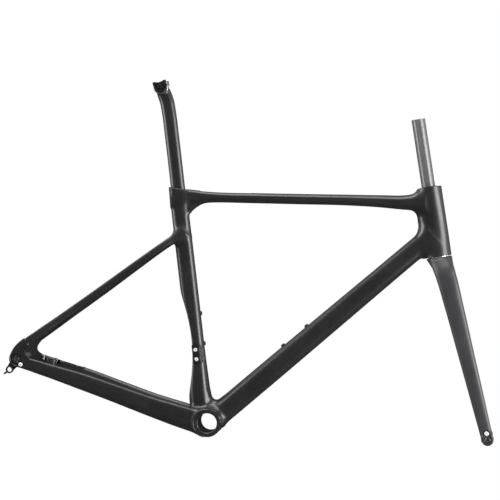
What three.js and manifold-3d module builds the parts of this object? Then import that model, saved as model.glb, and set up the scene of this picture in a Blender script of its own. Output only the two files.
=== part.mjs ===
// Road bicycle frameset: a carbon frame with its fork, seatpost, headset, axles and small fittings.
// Millimetres. +X forward, +Y to the rider's left, +Z up. The origin is the centre of the bottom bracket.
import * as THREE from "three";
import { mergeVertices } from "three/addons/utils/BufferGeometryUtils.js";
import Module from "manifold-3d";

const wasm = await Module();
wasm.setup();

// ---------------------------------------------------------------------------------------------
// Driving dimensions
// ---------------------------------------------------------------------------------------------
const REACH = 375;
const STACK = 564;
const HEAD_ANGLE = 71.9;
const SEAT_ANGLE = 73.9;
const SEAT_LINE_SETBACK = 8.7;
const CHAINSTAY_LENGTH = 420;
const BB_DROP = 67.4;
const HEAD_TUBE_LENGTH = 147;
const FORK_RAKE = 43;
const FRAME_TOP_Z = 476;

const BB_WIDTH = 86.5;
const BB_OUTER_RADIUS = 32;
const BB_BORE_RADIUS = 20.5;

const STEERER_RADIUS = 14.3;
const STEERER_FOOT_RADIUS = 16.4;
const STEERER_BORE_RADIUS = 11.8;
const STEERER_ABOVE_HEAD = 144;
const STEERER_SOCKET_DEPTH = 30;
const CROWN_GAP = 1.6; // between the head tube and the crown, where the race shows
const UPPER_BEARING_RADIUS = 20;
const LOWER_BEARING_RADIUS = 23.5;
const BEARING_HEIGHT = 7;

const REAR_HUB_HALF = 71;
const FRONT_HUB_HALF = 50;
const AXLE_RADIUS = 6;
const REAR_PLATE = 9;
const FORK_TIP_THICKNESS = 13;
const FORK_TIP_RADIUS = 12.4;
const REAR_WHEEL_CUTOUT_RADIUS = 364.5;
const FRONT_TYRE_ARCH_RADIUS = 352;
const TYRE_HALF_GAP = 20.5;

const POST_HALF_DEPTH = 15;
const POST_HALF_WIDTH = 11.5;
const POST_INSERTION = 130;
const POST_POCKET_DEPTH = 235;
const RAIL_HALF_SPACING = 22;
const RAIL_RADIUS = 3.6;

const BOTTLE_BOSS_SPACING = 64;
const REAR_BRAKE_SPACING = 34;
const FRONT_BRAKE_SPACING = 70;

const GAP = 0.3;
const TUBE_SIDES = 16;
const ROUND_SIDES = 20;
const SMALL_SIDES = 12;
const FAR = 400;

const degrees = (angle) => (angle * Math.PI) / 180;

// ---------------------------------------------------------------------------------------------
// Lines and points in the side view
// ---------------------------------------------------------------------------------------------

/** A line through (x, z) at an angle above +X. It gives the point `along` it and `side` to its right. */
function sideLine(x, z, angle) {
  const cos = Math.cos(degrees(angle));
  const sin = Math.sin(degrees(angle));
  const across = (along, side) => x + along * cos + side * sin;
  return (along, side = 0) => new THREE.Vector3(across(along, side), 0, z + along * sin - side * cos);
}

const onHeadTop = sideLine(REACH, STACK, 180 - HEAD_ANGLE);
const headFoot = onHeadTop(-HEAD_TUBE_LENGTH);
// Along: above the head tube's foot; side: forward.
const onHead = sideLine(headFoot.x, headFoot.z, 180 - HEAD_ANGLE);
// Along: above the bottom bracket; side: forward.
const onSeat = sideLine(-SEAT_LINE_SETBACK, 0, 180 - SEAT_ANGLE);
const onDown = sideLine(15.2, 14.1, 49.67); // along: from the bottom bracket; side: below
const onTop = sideLine(-140, 459, 8.2); // along: from the seat tube; side: below

const rearAxle = new THREE.Vector3(-Math.sqrt(CHAINSTAY_LENGTH ** 2 - BB_DROP ** 2), 0, BB_DROP);
const headUp = new THREE.Vector3().subVectors(onHead(1), onHead(0));
const headForward = new THREE.Vector3().subVectors(onHead(0, 1), onHead(0));
const forkLength = (headFoot.z + FORK_RAKE * headForward.z - BB_DROP) / headUp.z;
const frontAxle = onHead(-forkLength, FORK_RAKE);
const postTop = onSeat(FRAME_TOP_Z / Math.sin(degrees(SEAT_ANGLE)), 0.3);
const clampPivot = new THREE.Vector3(-215, 0, 681);

// ---------------------------------------------------------------------------------------------
// Solids
// ---------------------------------------------------------------------------------------------

/** Turns a closed three.js geometry into a solid that can be joined and cut. */
function solid(geometry) {
  const bare = geometry.index ? geometry.clone() : geometry;
  bare.deleteAttribute("normal");
  bare.deleteAttribute("uv");
  const merged = mergeVertices(bare, 1e-4);
  const vertProperties = new Float32Array(merged.attributes.position.array);
  const triVerts = new Uint32Array(merged.index.array);
  return new wasm.Manifold(new wasm.Mesh({ numProp: 3, vertProperties, triVerts }));
}

/** Turns a solid back into a three.js geometry. */
function geometryOf(body) {
  const { vertProperties, triVerts } = body.getMesh();
  const geometry = new THREE.BufferGeometry();
  geometry.setAttribute("position", new THREE.BufferAttribute(vertProperties, 3));
  geometry.setIndex(new THREE.BufferAttribute(triVerts, 1));
  geometry.computeVertexNormals();
  return geometry;
}

/** One cross-section of a tube: its centre, half depth in the side view, half width, and squareness. */
function ring(centre, halfDepth, halfWidth, squareness = 2.5) {
  return { centre, halfDepth, halfWidth, squareness };
}

/** The same point moved sideways to y. */
const at = (point, y) => new THREE.Vector3(point.x, y, point.z);

/**
 * A tube through its rings. Its sections stand square to its path, or to `upright` where that is given.
 * A section is an ellipse at a squareness of 2, and nears a rectangle above that.
 */
function tube(rings, steps, grow = 0, upright = null) {
  const path = new THREE.CatmullRomCurve3(rings.map((one) => one.centre), false, "centripetal");
  const sizes = new THREE.CatmullRomCurve3(
    rings.map((one) => new THREE.Vector3(one.halfDepth, one.halfWidth, one.squareness)),
  );
  const geometry = new THREE.CylinderGeometry(1, 1, 1, TUBE_SIDES, steps);
  const position = geometry.attributes.position;
  const step = (2 * Math.PI) / TUBE_SIDES;
  const power = (value, exponent) => Math.sign(value) * Math.abs(value) ** exponent;
  for (let i = 0; i < position.count; i += 1) {
    const t = Math.round((position.getY(i) + 0.5) * steps) / steps;
    const centre = path.getPoint(t);
    const { x: halfDepth, y: halfWidth, z: squareness } = sizes.getPoint(t);
    const tangent = upright ?? path.getTangent(t);
    const length = Math.hypot(tangent.x, tangent.z);
    const middle = Math.hypot(position.getX(i), position.getZ(i)) < 0.5;
    const turn = Math.round(Math.atan2(position.getZ(i), position.getX(i)) / step) * step;
    const front = middle ? 0 : power(Math.cos(turn), 2 / squareness) * (halfDepth + grow);
    const across = middle ? 0 : power(Math.sin(turn), 2 / squareness) * (halfWidth + grow);
    position.setXYZ(
      i,
      centre.x + (front * tangent.z) / length,
      centre.y - across,
      centre.z - (front * tangent.x) / length,
    );
  }
  return solid(geometry);
}

/** A cylinder along Y between two sideways places. */
function crossCylinder(centre, radius, fromY, toY, sides = ROUND_SIDES) {
  const geometry = new THREE.CylinderGeometry(radius, radius, Math.abs(toY - fromY), sides);
  geometry.translate(centre.x, (fromY + toY) / 2, centre.z);
  return solid(geometry);
}

/** A turned piece: a profile of [radius, height] pairs about `direction`, with its foot at `place`. */
function turned(profile, place, direction, sides = ROUND_SIDES) {
  const points = profile.map(([radius, height]) => new THREE.Vector2(radius, height));
  const geometry = new THREE.LatheGeometry(points, sides);
  const latheAxis = new THREE.Vector3(0, 1, 0);
  const turn = new THREE.Quaternion().setFromUnitVectors(latheAxis, direction.clone().normalize());
  geometry.applyQuaternion(turn);
  geometry.translate(place.x, place.y, place.z);
  return solid(geometry);
}

/** A box given by its centre and sizes, tipped in the side view by `tilt` degrees (nose up). */
function block(centre, [sizeX, sizeY, sizeZ], tilt = 0) {
  const geometry = new THREE.BoxGeometry(sizeX, sizeY, sizeZ);
  geometry.rotateY(degrees(-tilt));
  geometry.translate(centre.x, centre.y, centre.z);
  return solid(geometry);
}

/** A flat plate: an outline drawn in the side view about `centre`, from one sideways place to another. */
function plate(outline, centre, fromY, toY, curveSegments = 8) {
  const depth = Math.abs(toY - fromY);
  const geometry = new THREE.ExtrudeGeometry(outline, { depth, bevelEnabled: false, curveSegments });
  geometry.rotateX(Math.PI / 2);
  geometry.translate(centre.x, Math.max(fromY, toY), centre.z);
  return solid(geometry);
}

const cut = (body, ...tools) => tools.reduce((left, tool) => left.subtract(tool), body);
const join = (body, ...others) => others.reduce((sum, other) => sum.add(other), body);

/** A closed rod profile for turned pieces that starts and ends on the axis. */
const rod = (radius, low, high) => [[0, low], [radius, low], [radius, high], [0, high]];

// ---------------------------------------------------------------------------------------------
// Materials
// ---------------------------------------------------------------------------------------------
function material(color, roughness, metalness) {
  return new THREE.MeshStandardMaterial({ color, roughness, metalness });
}
const finishes = {
  satinCarbon: material(0x1b1b1d, 0.42, 0),
  matteCarbon: material(0x3d3d40, 0.6, 0),
  sandedCarbon: material(0x8a8a8c, 0.5, 0.1),
  blackAlloy: material(0x18181a, 0.4, 0.6),
  bareAlloy: material(0x9a9c9f, 0.35, 0.9),
  steel: material(0xc4c6c8, 0.25, 1),
  rubber: material(0x151515, 0.8, 0),
};

const frameset = new THREE.Group();

/** Adds one named piece to the frameset, or to a group in it. */
function add(name, body, finish, parent = frameset) {
  const mesh = new THREE.Mesh(geometryOf(body), finishes[finish]);
  mesh.name = name;
  parent.add(mesh);
}

const sides = [["right", -1], ["left", 1]];

// ---------------------------------------------------------------------------------------------
// Frame tubes
// ---------------------------------------------------------------------------------------------
const headTube = (grow = 0) =>
  tube(
    [
      ring(onHead(0, -1.5), 28, 27, 2.1),
      ring(onHead(45, -2.6), 29.6, 23.5, 2.2),
      ring(onHead(100, -2.4), 29.4, 22.5, 2.2),
      ring(onHead(HEAD_TUBE_LENGTH, 2.5), 24.6, 24.5, 2.1),
    ],
    9,
    grow,
    headUp,
  );

const topTube = tube(
  [
    ring(onTop(20, 1.5), 12, 11),
    ring(onTop(40, 0.8), 11.6, 15.5),
    ring(onTop(75, 0), 11.1, 17),
    ring(onTop(150, 0.2), 10.8, 18),
    ring(onTop(255, 0.2), 11, 19),
    ring(onTop(350, 0), 11.4, 20.5),
    ring(onTop(420, 1), 12.8, 21.5),
    ring(onTop(482, 2.4), 15.8, 21),
    ring(onTop(512, 0), 19, 19),
  ],
  14,
);

const downTube = (grow = 0) =>
  tube(
    [
      ring(onDown(0), 24.3, 29),
      ring(onDown(150), 24.1, 26),
      ring(onDown(330), 23, 24),
      ring(onDown(500), 21.9, 22.5),
      ring(onDown(588), 21.6, 19.5),
    ],
    8,
    grow,
  );

const seatTube = (grow = 0) =>
  tube(
    [
      ring(onSeat(0, -4), 23, 28),
      ring(onSeat(70, -4), 22.5, 26),
      ring(onSeat(135, -1.2), 18.6, 21),
      ring(onSeat(230, -1), 18.4, 17.8),
      ring(onSeat(400, -1), 18.4, 16.4),
      ring(onSeat(515, -1.2), 17.6, 15.2),
    ],
    10,
    grow,
  );

const bottomBracket = (grow = 0) =>
  crossCylinder(new THREE.Vector3(), BB_OUTER_RADIUS + grow, -BB_WIDTH / 2 - grow, BB_WIDTH / 2 + grow, 32);

/** The straight post with its swept-back head, through the clamp pivot. */
function postTube(grow = 0, fromAlong = -POST_INSERTION) {
  const up = sideLine(postTop.x, postTop.z, 180 - SEAT_ANGLE);
  return tube(
    [
      ring(up(fromAlong), POST_HALF_DEPTH, POST_HALF_WIDTH, 2.3),
      ring(up(0), POST_HALF_DEPTH, POST_HALF_WIDTH, 2.3),
      ring(up(110), POST_HALF_DEPTH, POST_HALF_WIDTH, 2.3),
      ring(up(160, -0.5), POST_HALF_DEPTH, POST_HALF_WIDTH, 2.3),
      ring(up(187, -2.5), POST_HALF_DEPTH, POST_HALF_WIDTH, 2.3),
      ring(up(203, -6.4), POST_HALF_DEPTH - 0.3, POST_HALF_WIDTH, 2.3),
      ring(clampPivot, POST_HALF_DEPTH - 4, POST_HALF_WIDTH, 2.3),
    ],
    14,
    grow,
  );
}

const wheelCutout = crossCylinder(rearAxle, REAR_WHEEL_CUTOUT_RADIUS, -60, 60, 120);
const aboveFrame = block(new THREE.Vector3(-140, 0, FRAME_TOP_Z + 60), [FAR, 200, 120]);

// Headset seats and steerer bore, turned about the steering axis.
const headBore = turned(
  [
    [0, -40],
    [LOWER_BEARING_RADIUS + GAP, -40],
    [LOWER_BEARING_RADIUS + GAP, BEARING_HEIGHT + 2.5],
    [STEERER_FOOT_RADIUS + 1, BEARING_HEIGHT + 5.5],
    [STEERER_FOOT_RADIUS + 1, HEAD_TUBE_LENGTH - BEARING_HEIGHT - 4.5],
    [UPPER_BEARING_RADIUS + GAP, HEAD_TUBE_LENGTH - BEARING_HEIGHT - 1.5],
    [UPPER_BEARING_RADIUS + GAP, HEAD_TUBE_LENGTH + 40],
    [0, HEAD_TUBE_LENGTH + 40],
  ],
  onHead(0),
  headUp,
);

/** A bottle bolt with its round head on a tube's face, which looks along `face`. */
function bottleBoss(place, face, grow = 0) {
  const profile = [
    [0, -12],
    [3 + grow, -12],
    [3 + grow, -grow],
    [5.2 + grow, -grow],
    [5.2 + grow, 0.8],
    [4.4 + grow, 0.8],
    [4.4 + grow, 2.2],
    [3 + grow, 3.6 + grow],
    [0, 3.6 + grow],
  ];
  return turned(profile, place, face, SMALL_SIDES);
}

const downFace = new THREE.Vector3().subVectors(onDown(0, -1), onDown(0));
const seatFace = new THREE.Vector3().subVectors(onSeat(0, 1), onSeat(0));
const bottleBosses = [
  ["bottle_bolt_down_lower", onDown(204, -23.9), downFace],
  ["bottle_bolt_down_upper", onDown(204 + BOTTLE_BOSS_SPACING, -23.5), downFace],
  ["bottle_bolt_seat_lower", onSeat(163, 16.9), seatFace],
  ["bottle_bolt_seat_upper", onSeat(163 + BOTTLE_BOSS_SPACING, 16.9), seatFace],
];
const bossPockets = bottleBosses.map(([, place, face]) => bottleBoss(place, face, GAP));

/** A box in line with the seat tube, `grow` larger all round. */
const seatBlock = (centre, sizes, grow) =>
  block(centre, sizes.map((size) => size + 2 * grow), 90 - SEAT_ANGLE);

// The front derailleur's plate sits in a pocket on the seat tube's right side.
const DERAILLEUR_ALONG = 142.5;
const DERAILLEUR_PLATE_Y = -20;
const derailleurPlace = (along) => at(onSeat(DERAILLEUR_ALONG + along, -0.5), DERAILLEUR_PLATE_Y);
const derailleurPlate = (grow = 0) => seatBlock(derailleurPlace(0), [14, 6, 40], grow);

// The wedge that holds the post lies in a slot behind the top tube's root, below its bolt.
const wedgePlace = onSeat(452, 19);
const seatUp = new THREE.Vector3().subVectors(onSeat(1), onSeat(0));
const wedge = (grow = 0) => seatBlock(wedgePlace, [6.4, 14, 24], grow);
const wedgeBolt = (grow = 0) => turned(rod(2.6 + grow, 12.4, 33), wedgePlace, seatUp, SMALL_SIDES);

/** The cover over the wedge bolt, let into the top tube's upper edge. */
function clampCover(grow = 0) {
  const sizes = [27, 11, 2.4].map((size) => size + 2 * grow);
  return block(new THREE.Vector3(-112, 0, FRAME_TOP_Z + 0.6), sizes, 3);
}

const bracketBore = crossCylinder(new THREE.Vector3(), BB_BORE_RADIUS, -BB_WIDTH, BB_WIDTH);
const downTubeBody = cut(downTube(), headTube(GAP), bottomBracket(GAP), bossPockets[0], bossPockets[1]);
add("head_tube", cut(headTube(), headBore), "satinCarbon");
add("bottom_bracket_shell", cut(bottomBracket(), bracketBore), "satinCarbon");
add("down_tube", downTubeBody, "satinCarbon");

const seatTubeBody = cut(
  seatTube(),
  wheelCutout,
  aboveFrame,
  bottomBracket(GAP),
  downTube(GAP),
  postTube(GAP, -POST_POCKET_DEPTH),
  bossPockets[2],
  bossPockets[3],
  derailleurPlate(GAP),
  wedge(GAP),
  wedgeBolt(GAP),
);
add("seat_tube", seatTubeBody, "satinCarbon");

// The web under the top tube's root fills the corner with the seat tube.
const web = new THREE.Shape();
web.moveTo(-22, 8);
web.lineTo(26, 8);
web.lineTo(26, -3);
web.quadraticCurveTo(6, -6, -4, -34);
web.lineTo(-22, -34);
const rootWeb = plate(web, onTop(26, 6), -9, 9);
const topTubeCuts = [headTube(GAP), seatTube(GAP), wedge(GAP), wedgeBolt(GAP), clampCover(GAP)];
const topTubeBody = cut(join(topTube, rootWeb), ...topTubeCuts);
add("top_tube", topTubeBody, "satinCarbon");

// ---------------------------------------------------------------------------------------------
// Rear stays and dropouts
// ---------------------------------------------------------------------------------------------
const CHAINSTAY_END = 28.5; // in front of the axle, where the stay meets the dropout
const DROPOUT_RADIUS = 15.5;
const HANGER_THICKNESS = 3.2;
const HANGER_SEAT_DEPTH = HANGER_THICKNESS + GAP;
const HANGER_SEAT_RADIUS = 12;
const HANGER_SCREW_HOLE = 2.3;
const NUT_SEAT_DEPTH = 3;
const NUT_SEAT_RADIUS = 11.3;
const NUT_BARREL_HOLE = 8.8;
const EYE_RADIUS = 7.8;
const EYE_HOLE = 5;
const EYE_DEPTH = 7.5;
const HANGER_EYE = new THREE.Vector2(-11.2, -24.2);
const HANGER_SCREW = new THREE.Vector3(rearAxle.x + 11, 0, rearAxle.z - 9.4);

/** A chainstay's rings, from the bottom bracket to the dropout. */
const chainstayRings = (side) => [
  ring(new THREE.Vector3(-6, 30.5 * side, -4), 24, 9, 2.6),
  ring(new THREE.Vector3(-50, 34 * side, 2.7), 23.8, 9.5, 2.6),
  ring(new THREE.Vector3(-126, 40 * side, 14.8), 20.8, 9, 2.6),
  ring(new THREE.Vector3(-205, 49 * side, 30.2), 18.8, 8.5, 2.6),
  ring(new THREE.Vector3(-283, 59.5 * side, 44.8), 17.2, 8, 2.6),
  ring(new THREE.Vector3(-335, 67 * side, 53.1), 14.8, 7, 2.6),
  ring(new THREE.Vector3(-392, 75.5 * side, 61.8), 12.4, 4.6, 3),
];

/** A seatstay's rings, from the seat tube to the dropout. */
const seatstayRings = (side) => [
  ring(new THREE.Vector3(-118, 11 * side, 386), 9, 6.5),
  ring(new THREE.Vector3(-152, 21.5 * side, 354), 7.6, 7.2),
  ring(new THREE.Vector3(-210, 30 * side, 296), 7.7, 7.4),
  ring(new THREE.Vector3(-264, 38 * side, 241), 7.9, 7.2),
  ring(new THREE.Vector3(-337, 54 * side, 168.5), 7.6, 6.6),
  ring(new THREE.Vector3(-382, 70 * side, 124), 7.7, 5),
  ring(new THREE.Vector3(-400, 75.5 * side, 106), 7.6, 4.6),
];

/** The dropout's side view about the axle: a round lobe with an arm to each stay. */
function dropoutOutline() {
  const outline = new THREE.Shape();
  outline.moveTo(CHAINSTAY_END, -18.5);
  outline.lineTo(CHAINSTAY_END, 6.6);
  outline.quadraticCurveTo(15, 11, 15, 19);
  outline.quadraticCurveTo(15, 27, 25.5, 40.8);
  outline.lineTo(14.4, 51);
  outline.quadraticCurveTo(-14, 28, -DROPOUT_RADIUS, 0);
  outline.absarc(0, 0, DROPOUT_RADIUS, Math.PI, 1.5 * Math.PI, false);
  return outline;
}

/** The derailleur hanger's side view about the axle: a round seat, an arm and the eye at its end. */
function hangerOutline(grow = 0) {
  const outline = new THREE.Shape();
  outline.absarc(0, 0, HANGER_SEAT_RADIUS + grow, degrees(-30), degrees(200), false);
  outline.absarc(HANGER_EYE.x, HANGER_EYE.y, EYE_RADIUS + grow, degrees(170), degrees(335), false);
  outline.quadraticCurveTo(grow, -18 - grow, 7 + grow, -14 - grow);
  return outline;
}

// The flat seat for the rear brake on top of the left chainstay, with its two inserts.
const STAY_TILT = 7.2;
const stayUp = new THREE.Vector3(Math.sin(degrees(STAY_TILT)), 0, Math.cos(degrees(STAY_TILT)));
const stayBack = new THREE.Vector3(-Math.cos(degrees(STAY_TILT)), 0, Math.sin(degrees(STAY_TILT)));
const rearBrakeSeat = new THREE.Vector3(-322, 64.6, 65.4);

/** Two places on a brake seat, half the spacing either way from its middle. */
const pairOn = (middle, direction, spacing) =>
  [-0.5, 0.5].map((share) => middle.clone().addScaledVector(direction, share * spacing));

const INSERT_PROFILE = [[2.5, -8], [3.4, -8], [3.4, -1.5], [4.8, -1.5], [4.8, 0], [2.5, 0], [2.5, -8]];
const INSERT_HOLE_PROFILE = [[0, -8.4], [3.7, -8.4], [3.7, -1.8], [5.1, -1.8], [5.1, 4], [0, 4]];

/** A flanged threaded insert with its face at `place`, and the hole that takes it. */
const insert = (place, direction) => turned(INSERT_PROFILE, place, direction, SMALL_SIDES);
const insertHole = (place, direction) => turned(INSERT_HOLE_PROFILE, place, direction, SMALL_SIDES);

const rearBrakePlaces = pairOn(rearBrakeSeat, stayBack, REAR_BRAKE_SPACING);
const rearBrakePad = block(rearBrakeSeat.clone().addScaledVector(stayUp, -6), [62, 19, 12], -STAY_TILT);
const rearBrakeCuts = [
  block(rearBrakeSeat.clone().addScaledVector(stayUp, 10), [64, 30, 20], -STAY_TILT),
  ...rearBrakePlaces.map((place) => insertHole(place, stayUp)),
];

for (const [sideName, side] of sides) {
  const inner = REAR_HUB_HALF * side;
  const outer = (REAR_HUB_HALF + REAR_PLATE) * side;
  const isRight = side < 0;
  const nutSeat = crossCylinder(rearAxle, NUT_SEAT_RADIUS, outer - NUT_SEAT_DEPTH * side, outer + side);
  const bore = crossCylinder(rearAxle, isRight ? NUT_BARREL_HOLE : AXLE_RADIUS + GAP, 60 * side, 90 * side);
  const hangerSeatFloor = -REAR_HUB_HALF - HANGER_SEAT_DEPTH;
  const hangerSeat = plate(hangerOutline(GAP), rearAxle, 1 - REAR_HUB_HALF, hangerSeatFloor);
  const screwHole = crossCylinder(HANGER_SCREW, HANGER_SCREW_HOLE, -60, -90, SMALL_SIDES);
  const lobe = plate(dropoutOutline(), rearAxle, inner, outer);
  const dropoutCuts = isRight ? [nutSeat, bore, hangerSeat, screwHole] : [nutSeat, bore];
  add(`dropout_${sideName}`, cut(lobe, ...dropoutCuts), "satinCarbon");

  const stayEnd = new THREE.Vector3(rearAxle.x + CHAINSTAY_END - 50 + GAP, 75 * side, 60);
  const behind = block(stayEnd, [100, 40, 90]);
  const stayCuts = [bottomBracket(GAP), seatTube(GAP), downTube(GAP), behind];
  const bareStay = tube(chainstayRings(side), 9);
  const brakeCuts = isRight ? [] : rearBrakeCuts;
  const chainstay = cut(isRight ? bareStay : join(bareStay, rearBrakePad), ...stayCuts, ...brakeCuts);
  add(`chainstay_${sideName}`, chainstay, "satinCarbon");

  const stayFoot = new THREE.Vector3(rearAxle.x + 20, 75 * side, rearAxle.z + 46);
  const beyond = block(stayFoot.clone().add(new THREE.Vector3(-17.2, 0, -18.1)), [90, 40, 50], -42.6);
  add(`seatstay_${sideName}`, cut(tube(seatstayRings(side), 9), seatTube(GAP), beyond), "satinCarbon");
}

rearBrakePlaces.forEach((place, index) => {
  add(`rear_brake_insert_${index + 1}`, insert(place, stayUp), "blackAlloy");
});

// ---------------------------------------------------------------------------------------------
// Rear axle, derailleur hanger and its nut
// ---------------------------------------------------------------------------------------------
const LEFT = new THREE.Vector3(0, 1, 0);
const RIGHT = new THREE.Vector3(0, -1, 0);
const eyeCentre = new THREE.Vector3(rearAxle.x + HANGER_EYE.x, 0, rearAxle.z + HANGER_EYE.y);
const hangerPlate = plate(hangerOutline(), rearAxle, -REAR_HUB_HALF, -REAR_HUB_HALF - HANGER_THICKNESS);
const hangerEye = crossCylinder(eyeCentre, EYE_RADIUS, -REAR_HUB_HALF, -REAR_HUB_HALF - EYE_DEPTH);
const stopPlace = new THREE.Vector3(eyeCentre.x - 6.6, -REAR_HUB_HALF - EYE_DEPTH / 2, eyeCentre.z - 7.6);
const hanger = cut(
  join(hangerPlate, hangerEye, block(stopPlace, [9, EYE_DEPTH, 3.4], 42)),
  crossCylinder(rearAxle, AXLE_RADIUS + GAP, -60, -90),
  crossCylinder(eyeCentre, EYE_HOLE, -60, -90),
  crossCylinder(HANGER_SCREW, HANGER_SCREW_HOLE, -60, -90, SMALL_SIDES),
);
add("derailleur_hanger", hanger, "blackAlloy");

const NUT_NOTCHES = 8;
const NUT_NOTCH_RADIUS = 9.6;
const NUT_PROFILE = [
  [6.3, 0],
  [8.4, 0],
  [8.4, 2.8],
  [10.9, 2.8],
  [10.9, 4.9],
  [10.2, 5.4],
  [6.9, 5.4],
  [6.3, 4.8],
  [6.3, 0],
];
const nutFoot = new THREE.Vector3(rearAxle.x, -REAR_HUB_HALF - HANGER_SEAT_DEPTH, rearAxle.z);
let hangerNut = turned(NUT_PROFILE, nutFoot, RIGHT, 32);
for (let notch = 0; notch < NUT_NOTCHES; notch += 1) {
  const angle = (360 / NUT_NOTCHES) * notch;
  const place = new THREE.Vector3(
    rearAxle.x + NUT_NOTCH_RADIUS * Math.cos(degrees(angle)),
    nutFoot.y - 5,
    rearAxle.z + NUT_NOTCH_RADIUS * Math.sin(degrees(angle)),
  );
  hangerNut = cut(hangerNut, block(place, [3.2, 2.4, 2.4], angle));
}
add("hanger_nut", hangerNut, "blackAlloy");

/** A small screw's profile: its shank, then a head with a softened rim and a socket. */
function screwProfile(shankRadius, shankLength, headRadius, headHeight, socketRadius) {
  const top = shankLength + headHeight;
  return [
    [0, 0],
    [shankRadius, 0],
    [shankRadius, shankLength],
    [headRadius, shankLength],
    [headRadius, top - 0.8],
    [headRadius - 0.8, top],
    [socketRadius, top],
    [socketRadius, top - 1.3],
    [0, top - 1.3],
  ];
}
const hangerScrewFoot = at(HANGER_SCREW, -REAR_HUB_HALF);
const hangerScrew = turned(screwProfile(2, 9.3, 4.2, 2.2, 1.6), hangerScrewFoot, RIGHT, SMALL_SIDES);
add("hanger_screw", hangerScrew, "steel");

/** A through axle, pushed in from the left, with a flanged head and a tool socket in each end. */
function throughAxle(centre, headFace, tip, headRadius, headHeight) {
  const length = headFace - tip;
  const place = new THREE.Vector3(centre.x, tip, centre.z);
  const profile = [
    [0, 0],
    [AXLE_RADIUS - 1, 0],
    [AXLE_RADIUS, 1],
    [AXLE_RADIUS, length - headHeight],
    [headRadius, length - headHeight],
    [headRadius, length - 0.8],
    [headRadius - 0.8, length],
    [0, length],
  ];
  const socket = turned(rod(3.4, length - 5, length + 2), place, LEFT, 6);
  const tipSocket = turned(rod(3.4, -2, 6), place, LEFT, 6);
  return cut(turned(profile, place, LEFT), socket, tipSocket);
}
const REAR_FACE = REAR_HUB_HALF + REAR_PLATE;
const AXLE_HEAD_HEIGHT = 2.8;
const rearAxleBody = throughAxle(rearAxle, REAR_FACE + 0.2, 0.8 - REAR_FACE, 10.4, AXLE_HEAD_HEIGHT);
add("rear_axle", rearAxleBody, "bareAlloy");

// ---------------------------------------------------------------------------------------------
// Headset and fork
// ---------------------------------------------------------------------------------------------
const lowerSeat = onHead(BEARING_HEIGHT + 2.5);
const upperSeat = onHead(HEAD_TUBE_LENGTH - BEARING_HEIGHT - 1.5);

/** A cartridge bearing's closed ring, with its outer rims chamfered. */
function bearingProfile(inner, outer, low) {
  const high = low + BEARING_HEIGHT;
  const chamfer = 0.7;
  return [
    [inner, low],
    [outer - chamfer, low],
    [outer, low + chamfer],
    [outer, high - chamfer],
    [outer - chamfer, high],
    [inner, high],
    [inner, low],
  ];
}
const lowerBearing = bearingProfile(STEERER_FOOT_RADIUS + 0.9, LOWER_BEARING_RADIUS, -GAP - BEARING_HEIGHT);
const upperBearing = bearingProfile(STEERER_RADIUS + 2.9, UPPER_BEARING_RADIUS, GAP - 0.3);
add("lower_bearing", turned(lowerBearing, lowerSeat, headUp), "steel");
add("upper_bearing", turned(upperBearing, onHead(HEAD_TUBE_LENGTH - BEARING_HEIGHT - 1.2), headUp), "steel");

const COMPRESSION_RING_PROFILE = [
  [STEERER_RADIUS + 0.3, 2.4],
  [STEERER_RADIUS + 2.5, 2.4],
  [STEERER_RADIUS + 2.5, BEARING_HEIGHT + 0.6],
  [UPPER_BEARING_RADIUS - 0.4, BEARING_HEIGHT + 0.6],
  [UPPER_BEARING_RADIUS - 0.4, BEARING_HEIGHT + 1.6],
  [STEERER_RADIUS + 1.4, BEARING_HEIGHT + 2.6],
  [STEERER_RADIUS + 0.3, BEARING_HEIGHT + 2.6],
  [STEERER_RADIUS + 0.3, 2.4],
];
const CROWN_RACE_PROFILE = [
  [STEERER_FOOT_RADIUS + 0.4, GAP - CROWN_GAP],
  [LOWER_BEARING_RADIUS - 0.4, GAP - CROWN_GAP],
  [LOWER_BEARING_RADIUS - 0.4, 1.2],
  [STEERER_FOOT_RADIUS + 0.4, 1.9],
  [STEERER_FOOT_RADIUS + 0.4, GAP - CROWN_GAP],
];
add("compression_ring", turned(COMPRESSION_RING_PROFILE, upperSeat, headUp), "blackAlloy");
add("crown_race", turned(CROWN_RACE_PROFILE, onHead(0), headUp), "steel");

const STEERER_TOP = HEAD_TUBE_LENGTH + STEERER_ABOVE_HEAD;
const steerer = turned(
  [
    [STEERER_BORE_RADIUS, -STEERER_SOCKET_DEPTH],
    [STEERER_FOOT_RADIUS, -STEERER_SOCKET_DEPTH],
    [STEERER_FOOT_RADIUS, 22],
    [STEERER_RADIUS, 100],
    [STEERER_RADIUS, STEERER_TOP],
    [STEERER_BORE_RADIUS, STEERER_TOP],
    [STEERER_BORE_RADIUS, -STEERER_SOCKET_DEPTH],
  ],
  onHead(0),
  headUp,
);
add("steerer", steerer, "sandedCarbon");

const CROWN_DEPTH = 50;
const crown = tube(
  [
    ring(onHead(-CROWN_DEPTH, 10.4), 20.7, 41.6, 3),
    ring(onHead(-27, 6.7), 22.3, 38, 2.7),
    ring(onHead(-11, 2.3), 25.3, 31.5, 2.3),
    ring(onHead(-CROWN_GAP, -0.1), 27, 27, 2),
  ],
  8,
  0,
  headUp,
);
const tyreArch = crossCylinder(frontAxle, FRONT_TYRE_ARCH_RADIUS, -TYRE_HALF_GAP, TYRE_HALF_GAP, 80);
const steererSocket = turned(rod(STEERER_FOOT_RADIUS + GAP, -FAR / 4, 20), onHead(0), headUp);
add("fork_crown", cut(crown, tyreArch, steererSocket), "matteCarbon");

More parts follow.
